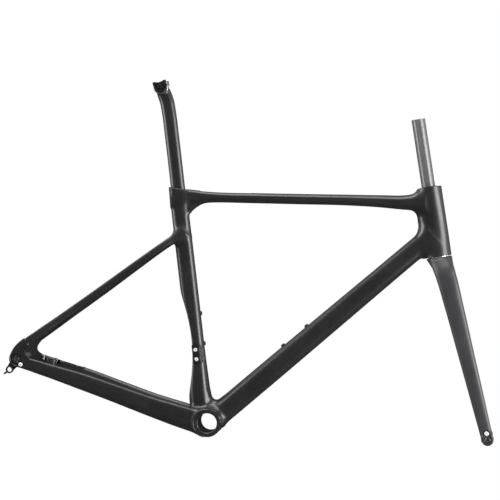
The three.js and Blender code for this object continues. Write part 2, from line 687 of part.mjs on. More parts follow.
/** A fork blade's rings, from inside the crown to the axle. */
const bladeRings = (side) => [
  ring(at(onHead(-38, 9.2), 31 * side), 21.3, 10.6, 2.8),
  ring(at(onHead(-110, 16), 35 * side), 19.3, 10.2, 2.6),
  ring(at(onHead(-210, 25.6), 42.5 * side), 16.7, 9, 2.6),
  ring(at(onHead(-310, 35.2), 51 * side), 14.2, 7.6, 2.6),
  ring(at(onHead(-forkLength, 42.7), 56.5 * side), 12.2, 6.5, 2.8),
];

// The flat seat for the front brake on the left blade's rear face.
const bladeUp = new THREE.Vector3().subVectors(onHead(-210, 25.6), onHead(-310, 35.2)).normalize();
const bladeRear = new THREE.Vector3(-bladeUp.z, 0, bladeUp.x);
const frontBrakeSeat = at(onHead(-296, 20.6), 49.4);
const frontBrakePlaces = pairOn(frontBrakeSeat, bladeUp, FRONT_BRAKE_SPACING);
const bladeTilt = THREE.MathUtils.radToDeg(Math.atan2(bladeUp.z, bladeUp.x));
const frontBrakePad = block(frontBrakeSeat.clone().addScaledVector(bladeRear, -5), [92, 15, 10], bladeTilt);
const frontBrakeCuts = [
  block(frontBrakeSeat.clone().addScaledVector(bladeRear, 10), [100, 30, 20], bladeTilt),
  ...frontBrakePlaces.map((place) => insertHole(place, bladeRear)),
];

// The black insert in the right tip's outer face, with its screw above the axle.
const tipInsertMiddle = at(frontAxle.clone().addScaledVector(headUp, 4), 0);
const tipInsert = (grow, fromY, toY) => {
  const outline = new THREE.Shape();
  const half = 9.6 + grow;
  outline.absarc(0, -5.5, half, Math.PI, 2 * Math.PI, false);
  outline.absarc(-1.5, 9, half - 2, 0, Math.PI, false);
  return plate(outline, tipInsertMiddle, fromY, toY, 8);
};
const tipScrewPlace = tipInsertMiddle.clone().addScaledVector(headUp, 9.4);

for (const [sideName, side] of sides) {
  const inner = FRONT_HUB_HALF * side;
  const outer = (FRONT_HUB_HALF + FORK_TIP_THICKNESS) * side;
  const aboveCrown = onHead(-CROWN_DEPTH - GAP + 30, 20);
  const tip = crossCylinder(frontAxle, FORK_TIP_RADIUS, inner, outer);
  const hubSide = crossCylinder(frontAxle, 40, inner, inner - 30 * side);
  const axleHole = crossCylinder(frontAxle, AXLE_RADIUS + GAP, 40 * side, 80 * side);
  const headSeat = crossCylinder(frontAxle, 10.8, outer - NUT_SEAT_DEPTH * side, outer + 5 * side);
  const insertSeat = tipInsert(GAP, outer - 5, outer + 2.5);
  const screwHole = crossCylinder(tipScrewPlace, 2.6, outer - 5, outer + 9, SMALL_SIDES);
  const rightCuts = [insertSeat, screwHole];
  const leftCuts = [headSeat, ...frontBrakeCuts];
  const blade = join(tube(bladeRings(side), 8), tip, ...(side > 0 ? [frontBrakePad] : []));
  const crownCut = block(at(aboveCrown, 35 * side), [120, 60, 60], 90 - HEAD_ANGLE);
  add(
    `fork_blade_${sideName}`,
    cut(blade, crownCut, hubSide, axleHole, ...(side < 0 ? rightCuts : leftCuts)),
    "matteCarbon",
  );
}
frontBrakePlaces.forEach((place, index) => {
  add(`front_brake_insert_${index + 1}`, insert(place, bladeRear), "blackAlloy");
});

const rightTipFace = -FRONT_HUB_HALF - FORK_TIP_THICKNESS;
const insertPlate = cut(
  tipInsert(0, rightTipFace + 0.2, rightTipFace + 2.2),
  crossCylinder(frontAxle, 7.4, -50, -80),
  crossCylinder(tipScrewPlace, 2.6, -50, -80, SMALL_SIDES),
);
const tipScrewFoot = at(tipScrewPlace, rightTipFace + 6.3);
add("fork_tip_insert", insertPlate, "rubber");
const tipScrew = turned(screwProfile(2.2, 6.4, 4.6, 1.9, 1.7), tipScrewFoot, RIGHT, SMALL_SIDES);
add("fork_tip_screw", tipScrew, "steel");
const frontAxleBody = throughAxle(frontAxle, 0.2 - rightTipFace, rightTipFace + 0.4, 10, AXLE_HEAD_HEIGHT);
add("front_axle", frontAxleBody, "bareAlloy");

// ---------------------------------------------------------------------------------------------
// Seatpost and saddle clamp
// ---------------------------------------------------------------------------------------------
const POST_BOSS_RADIUS = 15;
const POST_BOSS_HALF = 12.5;
const EAR_RADIUS = 13;
const EAR_HALF_LENGTH = 14;
const EAR_TOP = 8.5;
const EAR_HORN_TOP = 11.5;
const EAR_THICKNESS = 8.5;
const RAIL_HEIGHT = 7.2;
const CLAMP_BOLT_RADIUS = 3;
const CLAMP_TILT = 22;
const CLAMP_CENTRE = new THREE.Vector3();

const postBoss = crossCylinder(clampPivot, POST_BOSS_RADIUS, -POST_BOSS_HALF, POST_BOSS_HALF);
const clampHole = crossCylinder(clampPivot, CLAMP_BOLT_RADIUS + GAP, -60, 60, SMALL_SIDES);
add("seatpost", cut(join(postTube(), postBoss), clampHole), "satinCarbon");
add("post_wedge", wedge(), "blackAlloy");
add("post_wedge_bolt", wedgeBolt(), "steel");
add("clamp_cover", clampCover(), "rubber");

/** The side view of a clamp piece about the pivot: round below, and a flat or horned top. */
function clampOutline(hornTop) {
  const outline = new THREE.Shape();
  outline.moveTo(-EAR_HALF_LENGTH, hornTop);
  outline.lineTo(-EAR_HALF_LENGTH, 2);
  outline.absarc(0, 0, EAR_RADIUS, Math.PI * 1.06, Math.PI * 1.94, false);
  outline.lineTo(EAR_HALF_LENGTH, 2);
  outline.lineTo(EAR_HALF_LENGTH, hornTop);
  outline.lineTo(EAR_HALF_LENGTH - 4.5, hornTop);
  outline.quadraticCurveTo(0, EAR_TOP - 1.5, -EAR_HALF_LENGTH + 4.5, hornTop);
  return outline;
}

// The clamp is built level about its pivot and then tipped nose up.
const clamp = new THREE.Group();
clamp.position.copy(clampPivot);
clamp.rotation.y = degrees(-CLAMP_TILT);
frameset.add(clamp);

const boltBore = crossCylinder(CLAMP_CENTRE, CLAMP_BOLT_RADIUS + GAP, -60, 60, SMALL_SIDES);
for (const [sideName, side] of sides) {
  const railMiddle = new THREE.Vector3(0, RAIL_HALF_SPACING * side, RAIL_HEIGHT);
  const rail = turned(rod(RAIL_RADIUS, -40, 40), railMiddle, new THREE.Vector3(1, 0, 0), SMALL_SIDES);
  const cradleInner = (POST_BOSS_HALF + GAP) * side;
  const split = (RAIL_HALF_SPACING - GAP / 2) * side;
  const earInner = (RAIL_HALF_SPACING + GAP / 2) * side;
  const earOuter = (RAIL_HALF_SPACING + EAR_THICKNESS) * side;
  const bodyOf = (hornTop, fromY, toY) =>
    cut(plate(clampOutline(hornTop), CLAMP_CENTRE, fromY, toY), rail, boltBore);
  add(`clamp_cradle_${sideName}`, bodyOf(EAR_TOP + 1.5, cradleInner, split), "bareAlloy", clamp);
  add(`clamp_ear_${sideName}`, bodyOf(EAR_HORN_TOP, earInner, earOuter), "blackAlloy", clamp);
}

const earFace = RAIL_HALF_SPACING + EAR_THICKNESS;
const CLAMP_BOLT_PROFILE = [
  [0, -earFace - 2.6],
  [CLAMP_BOLT_RADIUS, -earFace - 2.6],
  [CLAMP_BOLT_RADIUS, earFace + 0.3],
  [5.2, earFace + 0.3],
  [5.2, earFace + 3.8],
  [4.4, earFace + 4.6],
  [0, earFace + 4.6],
];
const CLAMP_NUT_PROFILE = [
  [CLAMP_BOLT_RADIUS + 0.3, earFace + 0.3],
  [6.4, earFace + 0.3],
  [6.4, earFace + 2.2],
  [5.6, earFace + 3],
  [CLAMP_BOLT_RADIUS + 0.3, earFace + 3],
  [CLAMP_BOLT_RADIUS + 0.3, earFace + 0.3],
];
const boltSocket = turned(rod(2.3, earFace + 1.4, earFace + 9), CLAMP_CENTRE, RIGHT, 6);
add("clamp_bolt", cut(turned(CLAMP_BOLT_PROFILE, CLAMP_CENTRE, RIGHT), boltSocket), "steel", clamp);
add("clamp_nut", turned(CLAMP_NUT_PROFILE, CLAMP_CENTRE, LEFT), "blackAlloy", clamp);

// ---------------------------------------------------------------------------------------------
// Small fittings on the frame
// ---------------------------------------------------------------------------------------------
const PLATE_SCREW_PITCH = 20;
const plateScrewPlaces = [-0.5, 0.5].map((share) => derailleurPlace(share * PLATE_SCREW_PITCH));

// The plate's screws are sunk, so that a derailleur lies flat on its face.
const PLATE_SCREW_PROFILE = [[0, -2], [1.9, -2], [1.9, 0.6], [3.4, 0.6], [3.4, 2.6], [0, 2.6]];
const PLATE_HOLE_PROFILE = [[0, -4], [2.2, -4], [2.2, 0.3], [3.7, 0.3], [3.7, 6], [0, 6]];
const plateHoles = plateScrewPlaces.map((place) => turned(PLATE_HOLE_PROFILE, place, RIGHT, SMALL_SIDES));
add("derailleur_plate", cut(derailleurPlate(), ...plateHoles), "blackAlloy");
plateScrewPlaces.forEach((place, index) => {
  add(`derailleur_plate_screw_${index + 1}`, turned(PLATE_SCREW_PROFILE, place, RIGHT, SMALL_SIDES), "steel");
});
bottleBosses.forEach(([name, place, face]) => add(name, bottleBoss(place, face), "blackAlloy"));

export default frameset;
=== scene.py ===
"""Road bicycle frameset: a moulded carbon frame with its fork, seatpost, headset, axles and small fittings.

Shapes are worked out in millimetres in the part's own frame, and go to Blender in metres. +X is forward,
+Y is to the rider's left, +Z is up, and the origin is the centre of the bottom bracket.
"""

import logging
import math
from collections.abc import Iterable, Sequence
from dataclasses import dataclass, field
from enum import Enum

import bmesh
import bpy
import numpy as np
from mathutils import Matrix, Vector


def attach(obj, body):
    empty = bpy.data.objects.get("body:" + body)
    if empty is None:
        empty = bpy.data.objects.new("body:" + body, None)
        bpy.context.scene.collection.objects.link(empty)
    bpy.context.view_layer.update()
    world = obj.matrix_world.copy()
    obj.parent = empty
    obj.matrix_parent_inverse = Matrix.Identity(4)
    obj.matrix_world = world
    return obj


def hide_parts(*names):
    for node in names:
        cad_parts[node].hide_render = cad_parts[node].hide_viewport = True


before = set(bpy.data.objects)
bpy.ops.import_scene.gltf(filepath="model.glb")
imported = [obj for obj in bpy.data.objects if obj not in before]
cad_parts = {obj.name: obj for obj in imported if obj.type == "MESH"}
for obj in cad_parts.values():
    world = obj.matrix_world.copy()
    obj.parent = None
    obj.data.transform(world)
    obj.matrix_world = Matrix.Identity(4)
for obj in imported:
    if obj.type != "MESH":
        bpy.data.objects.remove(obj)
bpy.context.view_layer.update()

logging.basicConfig(level=logging.INFO, format="%(message)s")
log = logging.getLogger("frameset")

MM = 0.001
Array = np.ndarray
Profile = Sequence[tuple[float, float]]
Rows = Sequence[tuple[float, ...]]
Colour = tuple[float, float, float]
Socket = bpy.types.NodeSocket
TINY = 1e-9
ORIGIN = np.zeros(3)
RIGHT = np.array((0.0, -1.0, 0.0))
LEFT = np.array((0.0, 1.0, 0.0))
AHEAD = np.array((1.0, 0.0, 0.0))


# ---------------------------------------------------------------------------------------------
# The frameset's layout
# ---------------------------------------------------------------------------------------------
@dataclass(frozen=True)
class SideLine:
    """A line in the side view, through (x, z) at an angle above +X in degrees."""

    x: float
    z: float
    angle: float

    @property
    def up(self) -> Array:
        """The line's own direction."""
        turn = math.radians(self.angle)
        return np.array((math.cos(turn), 0.0, math.sin(turn)))

    @property
    def ahead(self) -> Array:
        """The direction to the line's right."""
        turn = math.radians(self.angle)
        return np.array((math.sin(turn), 0.0, -math.cos(turn)))

    def at(self, along: float, side: float = 0.0, y: float = 0.0) -> Array:
        """The point `along` the line, `side` to its right and moved sideways to y."""
        return np.array((self.x, y, self.z)) + along * self.up + side * self.ahead


@dataclass(frozen=True)
class Layout:
    """The driving dimensions of the frameset, in millimetres and degrees."""

    reach: float = 375.0
    stack: float = 564.0
    head_angle: float = 71.9
    seat_angle: float = 73.9
    seat_setback: float = 8.7
    chainstay: float = 420.0
    axle_height: float = 67.4
    head_length: float = 147.0
    fork_rake: float = 43.0
    top_height: float = 476.0

    @property
    def head(self) -> SideLine:
        """The steering axis, from the head tube's foot upwards."""
        top = SideLine(self.reach, self.stack, 180 - self.head_angle)
        foot = top.at(-self.head_length)
        return SideLine(foot[0], foot[2], 180 - self.head_angle)

    @property
    def seat(self) -> SideLine:
        """The seat tube's axis, from the height of the bottom bracket upwards."""
        return SideLine(-self.seat_setback, 0.0, 180 - self.seat_angle)

    @property
    def down(self) -> SideLine:
        """The down tube's axis, from the bottom bracket to the head tube. Its right is below it."""
        return SideLine(15.2, 14.1, 49.67)

    @property
    def top(self) -> SideLine:
        """The top tube's axis, from the seat tube to the head tube. Its right is below it."""
        return SideLine(-140.0, 459.0, 8.2)

    @property
    def rear_axle(self) -> Array:
        """The rear axle's centre."""
        return np.array((-math.sqrt(self.chainstay**2 - self.axle_height**2), 0.0, self.axle_height))

    @property
    def fork_length(self) -> float:
        """How far below the head tube's foot the front axle lies, along the steering axis."""
        head = self.head
        return (head.z + self.fork_rake * head.ahead[2] - self.axle_height) / head.up[2]

    @property
    def front_axle(self) -> Array:
        """The front axle's centre."""
        return self.head.at(-self.fork_length, self.fork_rake)

    @property
    def post(self) -> SideLine:
        """The seatpost's axis, from the frame's top upwards."""
        foot = self.seat.at(self.top_height / self.seat.up[2], 0.3)
        return SideLine(foot[0], foot[2], 180 - self.seat_angle)


LAYOUT = Layout()
CLAMP_PIVOT = np.array((-215.0, 0.0, 681.0))
CROWN_GAP = 1.6
BOTTLE_SPACING = 64.0
DERAILLEUR_ALONG = 142.5
PLATE_SCREW_PITCH = 20.0
BRAKE_PITCH = 34.0
HALVES = (-0.5, 0.5)
INSERT_POCKET = ((0, -8.4), (3.7, -8.4), (3.7, -1.8), (5.1, -1.8), (5.1, 4), (0, 4))
HANGER_EYE = (-11.2, -24.2)
HANGER_EYE_RADIUS = 7.8
HANGER_SCREW = LAYOUT.rear_axle + np.array((11.0, 0.0, -9.4))
REAR_HUB_HALF = 71.0
REAR_FACE = 80.0
FRONT_HUB_HALF = 50.0
FRONT_FACE = 63.0


class Side(Enum):
    """A side of the bicycle, as the rider sees it."""

    RIGHT = -1
    LEFT = 1

    @property
    def word(self) -> str:
        """The side's name in lower case."""
        return self.name.lower()

    def of(self, profile: Profile) -> Profile:
        """A turned profile with its heights on this side of the middle plane."""
        return [(radius, height * self.value) for radius, height in profile]


# ---------------------------------------------------------------------------------------------
# Moulded bodies: shapes given by their distance, blended into one skin
# ---------------------------------------------------------------------------------------------
def blend_in(one: Array, other: Array, radius: float) -> Array:
    """The union of two distance fields, with a fillet of about `radius` between them."""
    if radius <= 0:
        return np.minimum(one, other)
    share = np.maximum(radius - np.abs(one - other), 0.0) / radius
    return np.minimum(one, other) - share * share * (radius / 4)


def blend_out(one: Array, other: Array, radius: float) -> Array:
    """The intersection of two distance fields, with an edge rounded by about `radius`."""
    return -blend_in(-one, -other, radius)


def spline(knots: Array, values: Array, places: Array) -> Array:
    """A smooth curve through values at knots, read at places."""
    slopes = np.gradient(values, knots, axis=0)
    piece = np.clip(np.searchsorted(knots, places, side="right") - 1, 0, len(knots) - 2)
    span = (knots[piece + 1] - knots[piece])[:, None]
    share = (places - knots[piece])[:, None] / span
    start, end = values[piece], values[piece + 1]
    first, last = slopes[piece] * span, slopes[piece + 1] * span
    square, cube = share**2, share**3
    return (
        (2 * cube - 3 * square + 1) * start
        + (cube - 2 * square + share) * first
        + (3 * square - 2 * cube) * end
        + (cube - square) * last
    )


class Shape:
    """A closed shape that knows its box and how far any point lies outside it."""

    low: Array
    high: Array

    def distance(self, x: Array, y: Array, z: Array) -> Array:
        """How far the points lie outside the shape.

        Args:
            x, y, z: the points' coordinates, as arrays that broadcast together.

        Returns:
            The distances, negative inside.
        """
        raise NotImplementedError


@dataclass(frozen=True)
class Station:
    """One cross-section of a tube: its centre, half depth in the side view, half width, and squareness."""

    place: Array
    depth: float
    width: float
    square: float = 2.5


class Loft(Shape):
    """A tube through its stations. Its sections stand square to its path, or to a fixed line."""

    SAMPLES = 90
    CHUNK = 100_000
    SOFTEST = 1e-4

    def __init__(
        self, stations: Sequence[Station], upright: SideLine | None = None, grow: float = 0.0
    ) -> None:
        """Works out the tube's path and sizes.

        Args:
            stations: the cross-sections, in order along the tube.
            upright: the line that all sections stand square to, where they don't follow the path.
            grow: what is added to each half size.
        """
        places = np.array([one.place for one in stations], float)
        sizes = np.array([(one.depth + grow, one.width + grow, one.square) for one in stations], float)
        if upright is not None:
            knots = (places - upright.at(0)) @ upright.up
        else:
            knots = np.concatenate(([0.0], np.cumsum(np.linalg.norm(np.diff(places, axis=0), axis=1))))
        steps = np.linspace(knots[0], knots[-1], self.SAMPLES)
        self.path = spline(knots, places, steps)
        self.sizes = spline(knots, sizes, steps)
        flat = self.path[:, (0, 2)]
        turns = np.gradient(flat, axis=0)
        if upright is not None:
            turns = np.tile(upright.up[[0, 2]], (self.SAMPLES, 1))
        self.tangents = turns / np.linalg.norm(turns, axis=1, keepdims=True)
        steps_flat = np.sum(np.diff(flat, axis=0) * (self.tangents[1:] + self.tangents[:-1]) / 2, axis=1)
        self.reach = np.concatenate(([0.0], np.cumsum(steps_flat)))
        self.upright = upright
        margin = sizes[:, :2].max()
        self.low = self.path.min(axis=0) - margin
        self.high = self.path.max(axis=0) + margin

    def _reach_of(self, x: Array, z: Array) -> Array:
        """How far along the tube each point of the side view lies."""
        if self.upright is not None:
            start = self.path[0]
            return (x - start[0]) * self.upright.up[0] + (z - start[2]) * self.upright.up[2]
        nearest = np.empty(x.shape, int)
        for first in range(0, x.size, self.CHUNK):
            part = slice(first, first + self.CHUNK)
            apart = (x[part, None] - self.path[:, 0]) ** 2 + (z[part, None] - self.path[:, 2]) ** 2
            nearest[part] = apart.argmin(axis=1)
        across_x = (x - self.path[nearest, 0]) * self.tangents[nearest, 0]
        across_z = (z - self.path[nearest, 2]) * self.tangents[nearest, 1]
        return self.reach[nearest] + across_x + across_z

    def _section(self, x: Array, z: Array) -> tuple[Array, ...]:
        """What points of the side view lie beside.

        Returns:
            The reach, front offset, sideways centre, half depth, half width and squareness.
        """
        shape = np.broadcast_shapes(x.shape, z.shape)
        flat_x = np.broadcast_to(x, shape).ravel()
        flat_z = np.broadcast_to(z, shape).ravel()
        reach = self._reach_of(flat_x, flat_z)
        inside = np.clip(reach, 0.0, self.reach[-1])

        def read(values: Array) -> Array:
            """Values given along the tube, read at the points."""
            return np.interp(inside, self.reach, values)

        tangent_x, tangent_z = read(self.tangents[:, 0]), read(self.tangents[:, 1])
        front = (flat_x - read(self.path[:, 0])) * tangent_z - (flat_z - read(self.path[:, 2])) * tangent_x
        parts = (reach, front, read(self.path[:, 1]), *(read(self.sizes[:, i]) for i in range(3)))
        return tuple(part.astype(np.float32).reshape(shape) for part in parts)

    def distance(self, x: Array, y: Array, z: Array) -> Array:
        """See Shape.distance."""
        reach, front, middle, depth, width, square = self._section(x, z)
        share_front = np.abs(front) / depth + self.SOFTEST
        share_side = np.abs(y - middle) / width + self.SOFTEST
        power_front, power_side = share_front**square, share_side**square
        total = power_front + power_side
        norm = total ** (1 / square)
        slope = np.hypot(power_front / share_front / depth, power_side / share_side / width)
        steep = slope * norm / total
        outside = (norm - 1) / steep
        outside = np.maximum(outside, -np.minimum(depth, width))
        beyond = np.maximum(reach - np.float32(self.reach[-1]), -reach)
        return np.maximum(outside, beyond).astype(np.float32)

    def grain(self, points: Array) -> Array:
        """How the fibres run at the points: along the tube, then across it twice."""
        reach, front, middle, *_ = self._section(points[:, 0], points[:, 2])
        return np.stack((reach, front, points[:, 1] - middle), axis=1)

    def rings(self, sides: int) -> list[Array]:
        """The tube's own rings of points, for a cutter or a plain skin."""
        turn = np.linspace(0, 2 * math.pi, sides, endpoint=False)
        cos, sin = np.cos(turn), np.sin(turn)
        made = []
        for centre, size, (run_x, run_z) in zip(self.path, self.sizes, self.tangents, strict=True):
            depth, width, square = size
            front = np.sign(cos) * np.abs(cos) ** (2 / square) * depth
            side = np.sign(sin) * np.abs(sin) ** (2 / square) * width
            ring = (centre[0] + front * run_z, centre[1] + side, centre[2] - front * run_x)
            made.append(np.stack(ring, axis=1))
        return made


class Plate(Shape):
    """A flat shape across Y, between two sideways places, with rounded rims."""

    def __init__(self, low: Array, high: Array, from_y: float, to_y: float, rim: float) -> None:
        """Takes the corners of the side view's box, and the sideways places."""
        self.rim = rim
        self.middle, self.half = (from_y + to_y) / 2, abs(to_y - from_y) / 2
        self.low = np.array((low[0], self.middle - self.half, low[1]))
        self.high = np.array((high[0], self.middle + self.half, high[1]))

    def _inset_distance(self, x: Array, z: Array) -> Array:
        """How far points of the side view lie outside the shape, drawn in by its rim."""
        raise NotImplementedError

    def distance(self, x: Array, y: Array, z: Array) -> Array:
        """See Shape.distance."""
        out = self._inset_distance(x, z)
        side = np.abs(y - self.middle) - (self.half - self.rim)
        corner = np.hypot(np.maximum(out, 0), np.maximum(side, 0))
        return (corner + np.minimum(np.maximum(out, side), 0) - self.rim).astype(np.float32)


class Barrel(Plate):
    """A cylinder along Y, with rounded rims."""

    def __init__(
        self, centre: Array, radius: float, from_y: float, to_y: float, rim: float = 1.0
    ) -> None:
        """Places the barrel about a point of the side view."""
        middle = np.array((centre[0], centre[2]))
        super().__init__(middle - radius, middle + radius, from_y, to_y, rim)
        self.centre, self.radius = centre, radius

    def _inset_distance(self, x: Array, z: Array) -> Array:
        """See Plate._inset_distance."""
        return np.hypot(x - self.centre[0], z - self.centre[2]) - (self.radius - self.rim)


class Slab(Plate):
    """A plate with an outline of its own in the side view, and rounded rims."""

    def __init__(self, outline: Array, from_y: float, to_y: float, rim: float = 1.0) -> None:
        """Takes the outline's points in order, as an array of (x, z)."""
        super().__init__(outline.min(axis=0), outline.max(axis=0), from_y, to_y, rim)
        self.outline = outline

    def _outline_distance(self, x: Array, z: Array) -> Array:
        """How far points of the side view lie outside the outline."""
        nearest = np.full(x.shape, np.inf)
        inside = np.zeros(x.shape, bool)
        for (ax, az), (bx, bz) in zip(self.outline, np.roll(self.outline, -1, axis=0), strict=True):
            run_x, run_z = bx - ax, bz - az
            length = max(run_x**2 + run_z**2, TINY)
            share = np.clip(((x - ax) * run_x + (z - az) * run_z) / length, 0, 1)
            nearest = np.minimum(nearest, (x - ax - share * run_x) ** 2 + (z - az - share * run_z) ** 2)
            crosses = (az > z) != (bz > z)
            reach = ax + (z - az) * run_x / (run_z if abs(run_z) > TINY else TINY)
            inside ^= crosses & (x < reach)
        return np.where(inside, -1, 1) * np.sqrt(nearest)

    def _inset_distance(self, x: Array, z: Array) -> Array:
        """See Plate._inset_distance."""
        return self._outline_distance(*np.broadcast_arrays(x, z)) + self.rim


class Trimmed(Shape):
    """A shape cut by others, with its new edges rounded."""

    def __init__(self, body: Shape, cutters: Sequence[Shape], edge: float) -> None:
        """Takes the shape, what cuts it, and the size of the rounding."""
        self.body, self.cutters, self.edge = body, cutters, edge
        self.low, self.high = body.low, body.high

    def distance(self, x: Array, y: Array, z: Array) -> Array:
        """See Shape.distance."""
        left = self.body.distance(x, y, z)
        for cutter in self.cutters:
            left = blend_out(left, -cutter.distance(x, y, z), self.edge)
        return left


@dataclass(frozen=True)
class Member:
    """One shape of a moulding, with its fillet to what came before. A cutter is taken away."""

    shape: Shape
    blend: float
    is_cutter: bool = False


@dataclass
class Moulding:
    """A one-piece moulded body: its members blended into one skin, which is then cut to size."""

    voxel: float
    members: list[Member] = field(default_factory=list)
    FAR = 60.0
    MARGIN = 3
    PROBE = 0.2
    SETTLING_STEPS = 2
    LONGEST_MOVE = 0.45
    GRAIN_REACH = 20

    def add(self, shape: Shape, blend: float = 0.0) -> None:
        """Blends a shape in."""
        self.members.append(Member(shape, blend))

    def cut(self, shape: Shape, edge: float = 0.0) -> None:
        """Takes a shape away."""
        self.members.append(Member(shape, edge, True))

    def _merge(self, total: Array, member: Member, distance: Array) -> Array:
        """One member's distance taken into the total."""
        if member.is_cutter:
            return blend_out(total, -distance, member.blend)
        return blend_in(total, distance, member.blend)

    def _reach(self, member: Member) -> float:
        """How far round a member its distances are worked out."""
        return member.blend + self.MARGIN * self.voxel

    def distance(self, points: Array) -> Array:
        """How far points lie outside the moulding."""
        total = np.full(len(points), self.FAR, np.float32)
        for member in self.members:
            reach = self._reach(member)
            near = ((points > member.shape.low - reach) & (points < member.shape.high + reach)).all(axis=1)
            if near.any():
                x, y, z = points[near].T
                total[near] = self._merge(total[near], member, member.shape.distance(x, y, z))
        return total

    def _grid(self) -> tuple[Array, Array]:
        """The moulding's distances on a grid, and the grid's first corner."""
        solids = [member.shape for member in self.members if not member.is_cutter]
        low = np.min([one.low for one in solids], axis=0) - self.MARGIN * self.voxel
        high = np.max([one.high for one in solids], axis=0) + self.MARGIN * self.voxel
        counts = np.ceil((high - low) / self.voxel).astype(int) + 1
        axes = [low[i] + self.voxel * np.arange(counts[i]) for i in range(3)]
        total = np.full(counts, self.FAR, np.float32)
        for member in self.members:
            reach = self._reach(member)
            spans = []
            for i in range(3):
                first = np.searchsorted(axes[i], member.shape.low[i] - reach)
                last = np.searchsorted(axes[i], member.shape.high[i] + reach)
                spans.append(slice(first, last))
            window = tuple(spans)
            x = axes[0][spans[0]][:, None, None]
            y = axes[1][spans[1]][None, :, None].astype(np.float32)
            z = axes[2][spans[2]][None, None, :]
            if min(x.size, y.size, z.size):
                total[window] = self._merge(total[window], member, member.shape.distance(x, y, z))
        return total, low

    def skin(self) -> tuple[Array, Array]:
        """The moulding's surface.

        Returns:
            The vertices in millimetres, and four-sided faces.
        """
        total, low = self._grid()
        vertices, faces = surface_net(total)
        vertices = low + vertices * self.voxel
        farthest = self.LONGEST_MOVE * self.voxel
        for _ in range(self.SETTLING_STEPS):
            value = self.distance(vertices)
            slope = np.empty_like(vertices)
            for axis, shift in enumerate(np.eye(3) * self.PROBE):
                rise = self.distance(vertices + shift) - self.distance(vertices - shift)
                slope[:, axis] = rise / (2 * self.PROBE)
            steep = np.maximum((slope**2).sum(axis=1), 0.2)
            move = (value / steep)[:, None] * slope
            length = np.linalg.norm(move, axis=1, keepdims=True)
            vertices = vertices - move * np.minimum(1, farthest / np.maximum(length, TINY))
        return vertices, faces

    def grain(self, points: Array) -> Array:
        """The fibre direction's coordinates, each point read on the tube that it lies nearest to."""
        best = np.full(len(points), np.inf)
        made = np.zeros((len(points), 3))
        for member in self.members:
            loft = member.shape.body if isinstance(member.shape, Trimmed) else member.shape
            if isinstance(loft, Loft):
                low, high = loft.low - self.GRAIN_REACH, loft.high + self.GRAIN_REACH
                near = ((points > low) & (points < high)).all(axis=1)
                x, y, z = points[near].T
                away = np.full(len(points), np.inf)
                away[near] = loft.distance(x, y, z)
                closer = away < best
                made[closer] = loft.grain(points[closer])
                best = np.minimum(best, away)
        return made


def surface_net(total: Array) -> tuple[Array, Array]:
    """The zero surface of distances on a grid, one vertex in each cell that it crosses.

    Args:
        total: the distances, negative inside.

    Returns:
        The vertices in grid steps, and four-sided faces that look outwards.
    """
    inside = total < 0
    lower, upper = slice(None, -1), slice(1, None)
    corners = [(i, j, k) for i in (0, 1) for j in (0, 1) for k in (0, 1)]
    count = np.zeros(np.array(total.shape) - 1, np.uint8)
    for i, j, k in corners:
        count += inside[(lower, upper)[i], (lower, upper)[j], (lower, upper)[k]]
    cells = np.argwhere((count > 0) & (count < 8))
    index = np.full(count.shape, -1, np.int32)
    index[tuple(cells.T)] = np.arange(len(cells))
    sums = np.zeros((len(cells), 3))
    hits = np.zeros(len(cells))
    for corner in corners:
        for axis in range(3):
            if corner[axis] == 1:
                continue
            start = cells + corner
            end = start.copy()
            end[:, axis] += 1
            first, last = total[tuple(start.T)], total[tuple(end.T)]
            crossed = (first < 0) != (last < 0)
            share = first[crossed] / (first[crossed] - last[crossed])
            place = start[crossed].astype(float)
            place[:, axis] += share
            sums[crossed] += place
            hits[crossed] += 1
    vertices = sums / hits[:, None]
    faces = []
    for axis in range(3):
        second, third = (axis + 1) % 3, (axis + 2) % 3
        start = [slice(1, -1)] * 3
        start[axis] = slice(None, -1)
        end = list(start)
        end[axis] = slice(1, None)
        leaving = inside[tuple(start)] & ~inside[tuple(end)]
        entering = ~inside[tuple(start)] & inside[tuple(end)]
        offset = np.array([1, 1, 1])
        offset[axis] = 0
        for crossed, is_leaving in ((leaving, True), (entering, False)):
            place = np.argwhere(crossed) + offset
            around = []
            for back_second, back_third in ((1, 1), (0, 1), (0, 0), (1, 0)):
                cell = place.copy()
                cell[:, second] -= back_second
                cell[:, third] -= back_third
                around.append(index[tuple(cell.T)])
            faces.append(np.stack(around if is_leaving else around[::-1], axis=1))
    return vertices, np.concatenate(faces)


# ---------------------------------------------------------------------------------------------
# Mesh work
# ---------------------------------------------------------------------------------------------
@dataclass
class Raw:
    """Plain mesh data in millimetres."""

    vertices: Array
    faces: list[Sequence[int]]

    def placed(self, turn: Array, place: Array) -> "Raw":
        """The same mesh turned by a 3 × 3 matrix and moved."""
        return Raw(self.vertices @ np.asarray(turn).T + place, self.faces)

    def object(self, name: str) -> bpy.types.Object:
        """A Blender object in the scene with this mesh, in metres."""
        mesh = bpy.data.meshes.new(name)
        mesh.from_pydata((self.vertices * MM).tolist(), [], [list(map(int, one)) for one in self.faces])
        mesh.update()
        made = bpy.data.objects.new(name, mesh)
        bpy.context.scene.collection.objects.link(made)
        return made


def direction_matrix(direction: Array) -> Array:
    """The turn that takes +Z to a direction."""
    return np.array(Vector((0, 0, 1)).rotation_difference(Vector(direction)).to_matrix())


